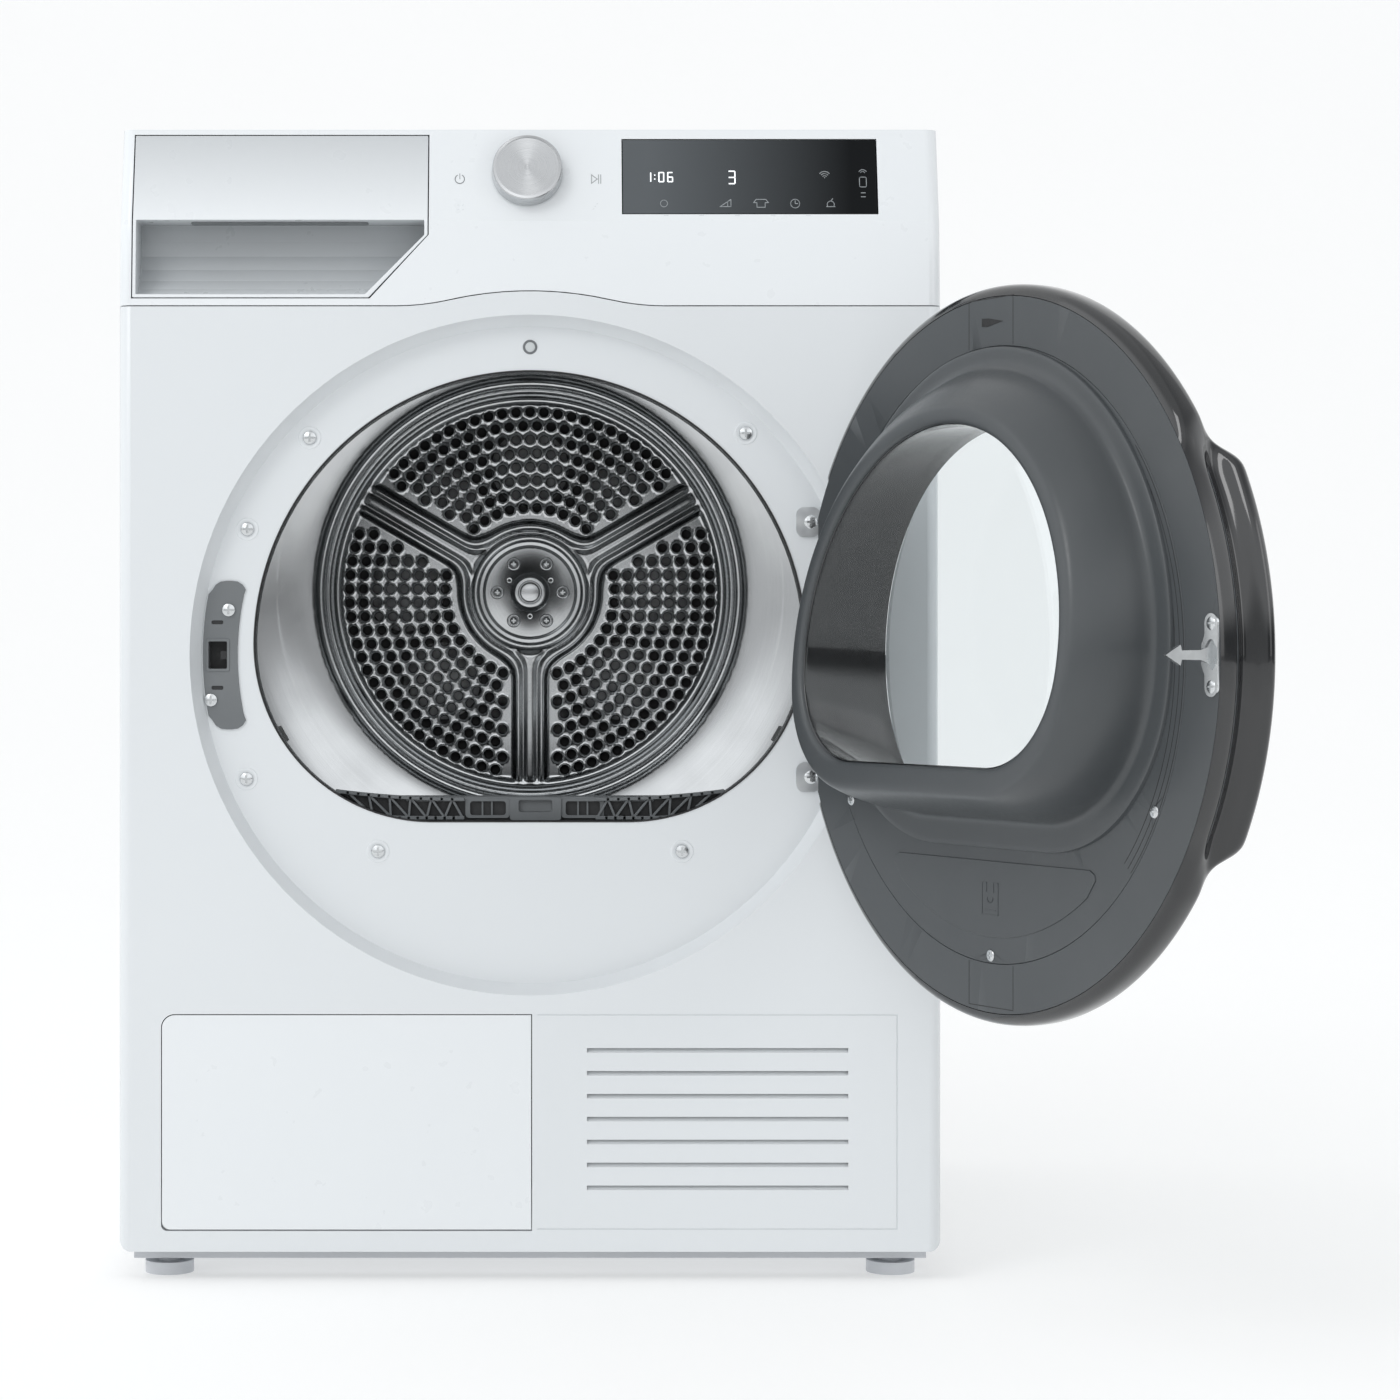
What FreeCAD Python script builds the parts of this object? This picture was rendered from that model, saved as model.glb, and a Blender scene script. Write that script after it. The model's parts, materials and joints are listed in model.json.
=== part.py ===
"""Free-standing heat-pump clothes dryer with its round door standing open.

Frame: millimetres, +X to the right, +Y to the back, +Z up.  The origin is on the floor, in the middle
of the cabinet's footprint.  The door is drawn shut and then turned about its hinge by door_open.
"""
import FreeCAD, Part
import math
import os
import re
import Sketcher

Vector = FreeCAD.Vector

# ------------------------------------------------------------------------------------------------
# Driving dimensions: alias, value in mm or degrees, meaning
# ------------------------------------------------------------------------------------------------
SIZES = [
    ("width", 600, "cabinet, side to side"),
    ("depth", 600, "front plane to the rear duct cover"),
    ("height", 845, "floor to top cover"),
    ("steel", 1.2, "sheet steel"),
    ("plastic", 2.5, "moulded wall"),
    ("fit", 0.3, "gap between neighbouring pieces"),
    ("running", 0.05, "radial clearance of a pin or shaft"),
    ("seam_gap", 0.8, "visible joint between two covers"),
    ("panel_low", 23, "lower edge of the front panel"),
    ("panel_return", 20, "depth of the front panel's folded edges"),
    ("panel_round", 9, "rounding of the front corners"),
    ("seam_z", "=height - 132", "joint between front panel and fascia"),
    ("arch_radius", 266, "fascia seam where it bends round the dish"),
    ("arch_blend", 176, "radius that leads the seam into its arch"),
    ("rear_inset", 12.8, "rear panel, in front of the duct cover's back"),
    ("flange", 13, "folded edge of a side panel"),
    ("cover_thick", 14, "top cover"),
    ("cover_setback", 61, "top cover's front edge behind the front plane"),
    ("ring_z", "=height - 387", "centre of the round dish and of the shut door"),
    ("ring_radius", 248.2, "dish at the front plane"),
    ("ring_floor", 241, "dish at its floor"),
    ("ring_depth", 16, "dish depth"),
    ("dee_radius", 203, "D-shaped opening, main arc"),
    ("dee_rise", 6, "its centre above the dish centre"),
    ("dee_flat", 122.7, "its flat below the dish centre"),
    ("dee_corner", 131, "its lower corners"),
    ("base_low", 12, "underside of the base tray"),
    ("base_high", 64, "top edge of the base tray"),
    ("base_inset", 7, "base tray, inside the cabinet's sides"),
    ("base_setback", 35, "base tray, behind the front plane"),
    ("base_wall", 4, "base tray wall"),
    ("foot_x", 268, "levelling feet from the middle"),
    ("foot_y", 250, "levelling feet from the middle"),
    ("foot_radius", 18, "foot pad"),
    ("foot_pad", 9, "foot pad height"),
    ("stem_radius", 5, "foot stem"),
    ("stem_top", 34, "top of the foot stem"),
    ("flap_left", 269, "service flap opening, left of the middle"),
    ("flap_right", 1.5, "right edge of that opening"),
    ("flap_low", 38.2, "lower edge of that opening"),
    ("flap_high", 196.2, "upper edge of that opening"),
    ("flap_round", 10, "its upper left corner"),
    ("flap_foot_round", 4.4, "its lower left corner"),
    ("flap_gap", 0.7, "gap round the flap"),
    ("flap_foot_gap", 1.1, "gap below the flap, for its swing"),
    ("flap_thick", 2.2, "service flap"),
    ("flap_pin", 1.2, "flap pin radius"),
    ("flap_pin_y", 2.6, "flap pin behind the front plane"),
    ("flap_pin_z", 43, "flap pin height"),
    ("flap_knuckle", 2.4, "flap knuckle radius"),
    ("emboss_right", 268, "right end of the embossed line"),
    ("emboss_round", 18, "its right corners"),
    ("emboss_line", 0.9, "line width"),
    ("emboss_depth", 0.6, "line depth"),
    ("louvre_left", 41.5, "grille slots, left end"),
    ("louvre_right", 232, "grille slots, right end"),
    ("louvre_low", 68.1, "lowest slot"),
    ("louvre_pitch", 16.7, "slot to slot"),
    ("louvre_high", 3.2, "slot height"),
    ("louvre_count", 7, "number of slots"),
    ("grille_depth", 7, "grille insert"),
    ("bar_z", "=height - 70", "lower edge of the fascia's leaning bar"),
    ("bar_start", 5.4, "bar's lower edge behind the front plane"),
    ("bar_lean", 15.8, "lean of the bar, degrees"),
    ("fascia_depth", 60, "fascia, front to back"),
    ("fascia_flange", 40, "depth of the fascia's lower wall"),
    ("drawer_left", 291, "drawer front, left edge"),
    ("drawer_right", 74, "drawer front, right edge"),
    ("drawer_cut", 117, "right end of its lower edge"),
    ("drawer_low", "=seam_z + 5", "drawer front, lower edge"),
    ("drawer_step", "=bar_z - 10", "top of its slanted corner"),
    ("drawer_high", "=height - 4", "drawer front, upper edge"),
    ("drawer_depth", 46, "drawer front, front to back"),
    ("grip_depth", 39, "grip recess"),
    ("grip_nose", 5, "flat lower edge of the grip recess"),
    ("grip_high", "=bar_z + 1", "top of the grip recess"),
    ("display_left", 68, "display glass"),
    ("display_right", 254, "display glass"),
    ("display_low", "=bar_z + 6", "display glass"),
    ("display_high", "=height - 8", "display glass"),
    ("display_thick", 2, "display glass"),
    ("knob_x", -2, "knob centre"),
    ("knob_z", "=bar_z + 36", "knob centre"),
    ("knob_radius", 26, "knob"),
    ("knob_high", 13, "knob"),
    ("knob_lift", 0.8, "knob above the bar"),
    ("knob_shaft", 3, "encoder shaft radius"),
    ("board_back", 14, "control board behind the bar"),
    ("latch_x", 229, "latch hole, left of the middle"),
    ("latch_wide", 13.6, "latch hole"),
    ("latch_tall", 20, "latch hole"),
    ("latch_inner", 214, "latch plate, inner edge"),
    ("latch_half", 55, "latch plate, half its height"),
    ("latch_plate", 1.5, "latch plate thickness"),
    ("latch_deep", 42, "latch box behind the dish floor"),
    ("screw_radius", 2.2, "small screw, shank"),
    ("screw_head", 5, "small screw, head radius"),
    ("screw_head_high", 2.4, "small screw, head height"),
    ("screw_long", 11, "small screw, shank length"),
    ("flat_head_high", 1.4, "low-head screw, head height"),
    ("door_head_high", 1.2, "door screw, head height"),
    ("screw_ring", 227, "screws round the opening, from the dish centre"),
    ("screw_low_x", 111.5, "two lower screws"),
    ("screw_low_z", 144, "two lower screws below the dish centre"),
    ("hinge_x", 226, "door hinge axis"),
    ("hinge_forward", 16, "hinge axis in front of the front plane"),
    ("hinge_upper", 97.6, "upper hinge above the dish centre"),
    ("hinge_lower", 89.5, "lower hinge below the dish centre"),
    ("hinge_pin", 3, "hinge pin radius"),
    ("hinge_plate", 3, "hinge plate thickness"),
    ("hinge_eye", 8, "hinge eye radius"),
    ("door_open", 117, "door as it stands, degrees from shut"),
    ("face_depth", 12, "shut door's inner face behind the front plane"),
    ("door_radius", 244, "door rim"),
    ("frame_inner", 203.3, "door frame ring, inner edge"),
    ("frame_thick", 14, "door frame ring"),
    ("frame_radius", 235.7, "door frame ring, outer edge"),
    ("notch_x", 214, "hinge notch of the frame ring"),
    ("notch_above", 120, "notch above the door centre"),
    ("notch_below", 97, "notch below the door centre"),
    ("trim_crest", 44, "outer trim's crest behind the inner face"),
    ("trim_crest_radius", 190, "crest of the trim"),
    ("trim_wall", 3, "outer trim wall"),
    ("window_radius", 152, "door window"),
    ("window_back", 16.3, "window behind the inner face"),
    ("window_thick", 4, "door window"),
    ("grip_angle", 66, "grip lip, degrees round the rim"),
    ("grip_lip_near", 28, "grip lip, near side"),
    ("grip_lip_far", 38, "grip lip, far side"),
    ("bowl_lip", 55, "bowl lip in front of the inner face"),
    ("bowl_tilt", 6, "tilt of the lip plane, degrees"),
    ("strike_half", 25, "strike plate, half its height"),
    ("strike_reach", 36, "strike hook"),
    ("drum_z", "=ring_z + 55", "drum axis"),
    ("drum_radius", 287, "drum shell, outside"),
    ("drum_band", "=drum_radius - 4", "its two seating bands, outside"),
    ("drum_band_wide", 26, "seating band width"),
    ("drum_front", 70, "drum's front edge behind the front plane"),
    ("drum_long", 430, "drum length"),
    ("lifter_high", 40, "drum lifters"),
    ("lifter_half", 14, "drum lifters, half their foot"),
    ("hole_radius", 4.4, "perforation"),
    ("hole_row", 158.5, "outermost row of holes"),
    ("hole_row_step", 12, "row to row"),
    ("hole_pitch", 12.4, "hole to hole"),
    ("hole_rows", 8, "rows"),
    ("spoke_half", 21, "blank strip along each spoke, half its width"),
    ("hub_radius", 51, "hub plate"),
    ("hub_screw_ring", 28.7, "hub screws"),
    ("shaft_radius", 12, "drum shaft"),
    ("bulkhead_front", 48, "front bulkhead behind the front plane"),
    ("bulkhead_rear", 6, "rear bulkhead behind the drum"),
    ("rim_inner", "=drum_radius - 17", "bulkhead rim that carries the felt"),
    ("rim_outer", "=drum_radius - 10", "bulkhead rim that carries the felt"),
    ("felt_thick", 4, "felt seal"),
    ("roller_radius", 20, "support rollers"),
    ("roller_angle", 35, "support rollers from straight down, degrees"),
    ("axle_radius", 5, "roller axle"),
    ("belt_wide", 9, "drive belt"),
    ("belt_thick", 1.6, "drive belt"),
    ("motor_x", 150, "motor axis"),
    ("motor_z", 140, "motor axis"),
    ("motor_radius", 52, "motor housing"),
    ("pulley_radius", 9, "motor pulley"),
    ("motor_shaft", 6, "motor shaft radius"),
    ("fan_radius", 58, "fan wheel"),
    ("idler_radius", 20, "idler pulley"),
    ("idler_x", 100, "idler pulley, where it meets the belt"),
    ("motor_front", 30, "motor housing, front end from the middle of the depth"),
    ("motor_back", 140, "motor housing, back end from the middle of the depth"),
    ("motor_wall", 14, "motor housing wall"),
    ("motor_end", 4, "motor end plate"),
    ("fan_front", 164, "fan wheel, front face from the middle of the depth"),
    ("fan_long", 24, "fan wheel"),
    ("fan_gap", 6, "blower housing round the fan"),
    ("blower_wall", 3, "blower housing front and back wall"),
    ("tray_floor", "=base_low + base_wall", "floor of the base tray"),
    ("block_left", "=width / 2 - 38", "heat exchangers, left end from the middle"),
    ("block_right", 12, "heat exchangers, right end left of the middle"),
    ("block_top", "=drum_z - drum_radius - 38", "heat exchangers, upper face"),
    ("fin_pitch", 12, "heat exchanger slot to slot"),
    ("fin_slot", 10, "heat exchanger slot width"),
    ("fin_edge", 4, "heat exchanger rim"),
    ("can_x", 160, "compressor, left of the middle"),
    ("can_y", 110, "compressor, behind the middle of the depth"),
    ("can_radius", 50, "compressor"),
    ("can_foot", 12, "compressor foot thickness"),
    ("can_top", "=drum_z - drum_radius - 21", "compressor, upper face"),
    ("pump_x", 30, "condensate pump, left of the middle"),
    ("pump_y", 242, "condensate pump, behind the middle of the depth"),
    ("pump_half", 28, "condensate pump, half its depth"),
    ("pump_top", 90, "condensate pump case, upper face"),
    ("pump_head", 22, "condensate pump head radius"),
    ("lock_radius", 11, "exchanger cover lock"),
    ("filter_half", 96, "lint filter, half its width"),
    ("filter_top", 105, "filter grille below the dish centre"),
    ("filter_low", "=ring_z - 186", "lower end of the filter"),
    ("duct_front", 50, "lint duct behind the front plane"),
    ("duct_back", 66, "lint duct behind the front plane"),
    ("tank_top", "=height - 19", "condensate tank, upper edge"),
    ("tank_long", 410, "condensate tank, front to back"),
    ("tank_wall", 2, "condensate tank wall"),
    ("hose_radius", 6, "drain hose"),
    ("hose_bend", 34, "drain hose bend radius"),
    ("duct_cover_radius", 235, "round cover on the rear panel"),
    ("spigot_x", 205, "drain spigot"),
    ("spigot_z", 96, "drain spigot"),
    ("spigot_radius", 9, "drain spigot"),
    ("spigot_room", 1.6, "rear panel's hole round the spigot, closed by the spigot's collar inside"),
    ("inlet_x", -230, "mains inlet gland"),
    ("inlet_z", 110, "mains inlet gland"),
    ("inlet_radius", 11, "mains inlet gland"),
    ("inlet_bore", 4, "mains inlet gland"),
]

doc = FreeCAD.newDocument("clothes_dryer")
sheet = doc.addObject("Spreadsheet::Sheet", "dims")
for row, (alias, value, meaning) in enumerate(SIZES, start=1):
    sheet.set(f"A{row}", str(value))
    sheet.setAlias(f"A{row}", alias)
    sheet.set(f"B{row}", meaning)
doc.recompute()

ALIASES = {alias for alias, value, meaning in SIZES}
size = {alias: float(sheet.get(alias)) for alias in ALIASES}

# Places that many pieces share, as formulas of the sheet's cells
FRONT = "(-depth / 2)"
REAR = "(depth / 2 - rear_inset)"
FACE = "(-depth / 2 + face_depth)"
FLOOR = "(-depth / 2 + ring_depth)"
HINGE_Y = "(-depth / 2 - hinge_forward)"
DRUM_START = "(-depth / 2 + drum_front)"
DRUM_END = "(-depth / 2 + drum_front + drum_long)"

nodes = []


# ------------------------------------------------------------------------------------------------
# Helpers
# ------------------------------------------------------------------------------------------------
def formula(text):
    """Point every alias in a formula at the sheet."""
    return re.sub(r"[a-z][a-z_]*", lambda m: f"dims.{m.group(0)}" if m.group(0) in ALIASES else m.group(0), text)


def bind(thing, prop, text):
    thing.setExpression(prop, formula(str(text)))


def bind_base(thing, x, y, z):
    bind(thing, "Placement.Base.x", x)
    bind(thing, "Placement.Base.y", y)
    bind(thing, "Placement.Base.z", z)


def box(name, x, y, z):
    """A block between two formulas along each axis."""
    made = doc.addObject("Part::Box", name)
    bind(made, "Length", f"({x[1]}) - ({x[0]})")
    bind(made, "Width", f"({y[1]}) - ({y[0]})")
    bind(made, "Height", f"({z[1]}) - ({z[0]})")
    bind_base(made, x[0], y[0], z[0])
    return made


TURNS = {"x": (Vector(0, 1, 0), 90), "y": (Vector(1, 0, 0), -90), "z": (Vector(0, 0, 1), 0)}


def rod(name, axis, radius, centre, span):
    """A cylinder along an axis; centre holds the two other coordinates, in the order x, y, z."""
    made = doc.addObject("Part::Cylinder", name)
    made.Placement = FreeCAD.Placement(Vector(), FreeCAD.Rotation(*TURNS[axis]))
    bind(made, "Radius", radius)
    bind(made, "Height", f"({span[1]}) - ({span[0]})")
    base = list(centre)
    base.insert("xyz".index(axis), span[0])
    bind_base(made, *base)
    return made


def join(name, *things):
    made = doc.addObject("Part::MultiFuse", name)
    made.Shapes = list(things)
    made.Refine = True
    return made


def cut(name, base, *tools):
    made = doc.addObject("Part::Cut", name)
    made.Base = base
    made.Tool = tools[0] if len(tools) == 1 else join(f"{name}_tools", *tools)
    return made


def common(name, *things):
    made = doc.addObject("Part::MultiCommon", name)
    made.Shapes = list(things)
    return made


def group(name, *things):
    """Separate solids that share one node."""
    made = doc.addObject("Part::Compound", name)
    made.Links = list(things)
    return made


def tube(name, axis, outer, inner, centre, span):
    solid = rod(f"{name}_outside", axis, outer, centre, span)
    bore = rod(f"{name}_bore", axis, inner, centre, (f"({span[0]}) - 1", f"({span[1]}) + 1"))
    return cut(name, solid, bore)


def node(thing, label):
    thing.Label = label
    nodes.append(thing)
    return thing


def body(name):
    return doc.addObject("PartDesign::Body", name)


def sketch(owner, name, plane, offset="0", rise="0"):
    """A sketch on one of the body's own origin planes, moved along its normal and up."""
    made = owner.newObject("Sketcher::SketchObject", name)
    support = [feature for feature in owner.Origin.OriginFeatures if feature.Role == plane][0]
    made.AttachmentSupport = [(support, "")]
    made.MapMode = "FlatFace"
    bind(made, "AttachmentOffset.Base.z", offset)
    bind(made, "AttachmentOffset.Base.y", rise)
    return made


def name_constraint(made, constraint, name, text):
    index = made.addConstraint(constraint)
    made.renameConstraint(index, name)
    bind(made, f"Constraints.{name}", text)


def loop(made, points, tag="p"):
    """A closed outline of straight lines through formula points."""
    count = len(points)
    first = made.GeometryCount
    for i in range(count):
        here = 2 * math.pi * i / count
        there = 2 * math.pi * (i + 1) / count
        start = Vector(math.cos(here), math.sin(here), 0)
        end = Vector(math.cos(there), math.sin(there), 0)
        made.addGeometry(Part.LineSegment(start, end))
    for i in range(count):
        made.addConstraint(Sketcher.Constraint("Coincident", first + i, 2, first + (i + 1) % count, 1))
    for i, (along, up) in enumerate(points):
        name_constraint(made, Sketcher.Constraint("DistanceX", -1, 1, first + i, 1, 1.0), f"{tag}{i}_x", along)
        name_constraint(made, Sketcher.Constraint("DistanceY", -1, 1, first + i, 1, 1.0), f"{tag}{i}_y", up)


def rectangle(made, along, up, tag="p"):
    loop(made, [(along[0], up[0]), (along[1], up[0]), (along[1], up[1]), (along[0], up[1])], tag)


def circle(made, along, up, radius, tag="c"):
    index = made.addGeometry(Part.Circle(Vector(0, 0, 0), Vector(0, 0, 1), 1))
    name_constraint(made, Sketcher.Constraint("Radius", index, 1.0), f"{tag}_r", radius)
    name_constraint(made, Sketcher.Constraint("DistanceX", -1, 1, index, 3, 1.0), f"{tag}_x", along)
    name_constraint(made, Sketcher.Constraint("DistanceY", -1, 1, index, 3, 1.0), f"{tag}_y", up)


def dee(made, radius, rise, flat, corner):
    """A D lying on its flat side: a main arc, two corner arcs and a flat, measured from the sketch's origin.

    Each argument is a pair: the formula, and the number that the solver starts from.
    """
    big, lift, low, round_ = radius[1], rise[1], -flat[1], corner[1]
    corner_up = low + round_ - lift
    corner_x = math.sqrt((big - round_) ** 2 - corner_up ** 2)
    turn = math.atan2(corner_up, corner_x)
    normal = Vector(0, 0, 1)
    right_centre = Vector(corner_x, low + round_, 0)
    left_centre = Vector(-corner_x, low + round_, 0)
    outline = [
        Part.ArcOfCircle(Part.Circle(Vector(0, lift, 0), normal, big), turn, math.pi - turn),
        Part.ArcOfCircle(Part.Circle(left_centre, normal, round_), math.pi - turn, 1.5 * math.pi),
        Part.LineSegment(Vector(-corner_x, low, 0), Vector(corner_x, low, 0)),
        Part.ArcOfCircle(Part.Circle(right_centre, normal, round_), -math.pi / 2, turn),
    ]
    top, left, base, right = [made.addGeometry(piece) for piece in outline]
    for first, second in ((top, left), (left, base), (base, right), (right, top)):
        made.addConstraint(Sketcher.Constraint("Tangent", first, 2, second, 1))
    made.addConstraint(Sketcher.Constraint("PointOnObject", top, 3, -2))
    made.addConstraint(Sketcher.Constraint("Horizontal", base))
    made.addConstraint(Sketcher.Constraint("Equal", left, right))
    name_constraint(made, Sketcher.Constraint("Radius", top, big), "main_radius", radius[0])
    name_constraint(made, Sketcher.Constraint("Radius", left, round_), "corner_radius", corner[0])
    name_constraint(made, Sketcher.Constraint("DistanceY", -1, 1, top, 3, lift), "main_rise", rise[0])
    name_constraint(made, Sketcher.Constraint("DistanceY", -1, 1, base, 1, low), "flat_level", f"-({flat[0]})")


def opening_dee(made, grow=0):
    """The D of the loading opening, made larger or smaller all round."""
    dee(
        made,
        (f"dee_radius + {grow}", size["dee_radius"] + grow),
        ("dee_rise", size["dee_rise"]),
        (f"dee_flat + {grow}", size["dee_flat"] + grow),
        (f"dee_corner + {grow}", size["dee_corner"] + grow),
    )


def pad(owner, profile, length, reverse=False):
    made = owner.newObject("PartDesign::Pad", f"{profile.Name}_pad")
    made.Profile = profile
    made.Reversed = reverse
    bind(made, "Length", length)
    return made


def pocket(owner, profile, length, reverse=False):
    made = owner.newObject("PartDesign::Pocket", f"{profile.Name}_pocket")
    made.Profile = profile
    made.Reversed = reverse
    bind(made, "Length", length)
    return made


def spin(owner, profile, kind="Revolution", axis="H_Axis", angle="360", midplane=False):
    """Turn a profile about one of its sketch's axes; kind is Revolution or Groove."""
    made = owner.newObject(f"PartDesign::{kind}", f"{profile.Name}_{kind.lower()}")
    made.Profile = profile
    made.ReferenceAxis = (profile, [axis])
    made.Midplane = midplane
    bind(made, "Angle", angle)
    return made


def round_edges(owner, feature, radius, wanted):
    """Fillet the edges that a test picks."""
    doc.recompute()
    names = [f"Edge{i}" for i, edge in enumerate(feature.Shape.Edges, start=1) if wanted(edge)]
    made = owner.newObject("PartDesign::Fillet", f"{feature.Name}_round")
    made.Base = (feature, names)
    bind(made, "Radius", radius)
    return made


def hollow(owner, feature, wall, wanted):
    """Turn a solid into a shell, open where a test picks its faces."""
    doc.recompute()
    names = [f"Face{i}" for i, face in enumerate(feature.Shape.Faces, start=1) if wanted(face)]
    made = owner.newObject("PartDesign::Thickness", f"{feature.Name}_shell")
    made.Base = (feature, names)
    made.Reversed = True
    bind(made, "Value", wall)
    return made


def runs_along(edge, direction):
    """True for a straight edge along a direction."""
    if edge.Curve.TypeId != "Part::GeomLine":
        return False
    return abs(abs(edge.tangentAt(edge.FirstParameter).dot(direction)) - 1) < 1e-6


def revolved(name, centre_z, points, plane="YZ_Plane"):
    """A body turned about the line along Y at height centre_z; points are (y, radius)."""
    owner = body(name)
    profile = sketch(owner, f"{name}_profile", plane, "0", centre_z)
    loop(profile, points)
    spin(owner, profile)
    return owner


def prism(name, plane, offset, length, points, rise="0"):
    """A body padded from one straight-sided outline."""
    owner = body(name)
    outline = sketch(owner, f"{name}_outline", plane, offset, rise)
    loop(outline, points)
    pad(owner, outline, length, reverse=(plane == "XZ_Plane"))
    return owner


def from_front(distance):
    """Offset of a sketch on the XZ plane that lies this far behind the front plane."""
    return f"depth / 2 - ({distance})"


def bar_y(up):
    """Y of the fascia's leaning bar at a height."""
    return f"({FRONT} + bar_start + (({up}) - bar_z) * tan(bar_lean))"


def screw(name, x, y, z, high="screw_head_high"):
    """A pan-head screw along Y, its head in front of the face at y."""
    head = rod(f"{name}_head", "y", "screw_head", (x, z), (f"{y} - {high}", y))
    shank = rod(f"{name}_shank", "y", "screw_radius", (x, z), (f"{y}", f"{y} + screw_long"))
    return join(name, head, shank)


def polar(radius, degrees):
    """X and Z of a point on a circle round the dish centre."""
    return f"({radius}) * cos({degrees})", f"ring_z + ({radius}) * sin({degrees})"


def open_door(thing):
    """Turn a piece of the shut door about the hinge axis."""
    thing.Placement = FreeCAD.Placement(Vector(), FreeCAD.Rotation(Vector(0, 0, 1), size["door_open"]))
    bind(thing, "Placement.Rotation.Angle", "door_open")
    bind(thing, "Placement.Base.x", f"hinge_x - (hinge_x * cos(door_open) - {HINGE_Y} * sin(door_open))")
    bind(thing, "Placement.Base.y", f"{HINGE_Y} - (hinge_x * sin(door_open) + {HINGE_Y} * cos(door_open))")
    return thing


# ------------------------------------------------------------------------------------------------
# Cabinet
# ------------------------------------------------------------------------------------------------
def base_tray():
    owner = body("base_tray")
    outline = sketch(owner, "tray_outline", "XY_Plane", "base_low")
    sides = ("-width / 2 + base_inset", "width / 2 - base_inset")
    rectangle(outline, sides, (f"{FRONT} + base_setback", f"{REAR} - 2 * steel - 1"))
    pad(owner, outline, "base_high - base_low")
    well = sketch(owner, "tray_well", "XY_Plane", "base_high")
    inner_x = (f"{sides[0]} + base_wall", f"{sides[1]} - base_wall")
    rectangle(well, inner_x, (f"{FRONT} + base_setback + base_wall", f"{REAR} - 2 * steel - 1 - base_wall"))
    pocket(owner, well, "base_high - base_low - base_wall")
    holes = sketch(owner, "tray_foot_holes", "XY_Plane", "base_high")
    for i, (side, end) in enumerate(((-1, -1), (1, -1), (-1, 1), (1, 1))):
        circle(holes, f"{side} * foot_x", f"{end} * foot_y", "stem_radius + running", f"foot{i}")
    pocket(owner, holes, "base_high - base_low + 1")
    return node(owner, "base_tray")


def levelling_feet():
    feet = []
    for i, (side, end) in enumerate(((-1, -1), (1, -1), (-1, 1), (1, 1))):
        centre = (f"{side} * foot_x", f"{end} * foot_y")
        foot_pad = rod(f"foot_pad_{i}", "z", "foot_radius", centre, ("0", "foot_pad"))
        stem = rod(f"foot_stem_{i}", "z", "stem_radius", centre, ("foot_pad", "stem_top"))
        nut = rod(f"foot_nut_{i}", "z", "stem_radius * 1.7", centre, ("foot_pad", "base_low"))
        feet.append(join(f"foot_{i}", foot_pad, stem, nut))
    return node(group("levelling_feet", *feet), "levelling_feet")


def side_panel(label, side):
    """A sheet with a folded edge at its front and at its back."""
    outer = f"{side} * width / 2"
    inner = f"{side} * (width / 2 - steel)"
    tip = f"{side} * (width / 2 - flange)"
    start = f"{FRONT} + panel_return + seam_gap"
    end = f"{REAR} - steel"
    points = [
        (outer, start), (outer, end), (tip, end), (tip, f"{end} - steel"),
        (inner, f"{end} - steel"), (inner, f"{start} + steel"), (tip, f"{start} + steel"), (tip, start),
    ]
    sheet_ = prism(f"{label}_sheet", "XY_Plane", "panel_low", "height - cover_thick - panel_low - fit", points)
    corner = box(f"{label}_corner", (f"{side} * width / 4 - width / 3", f"{side} * width / 4 + width / 3"),
                 (f"{FRONT} - 1", f"{FRONT} + fascia_depth + seam_gap"), ("seam_z - seam_gap", "height"))
    return node(cut(label, sheet_, corner), label)


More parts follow.
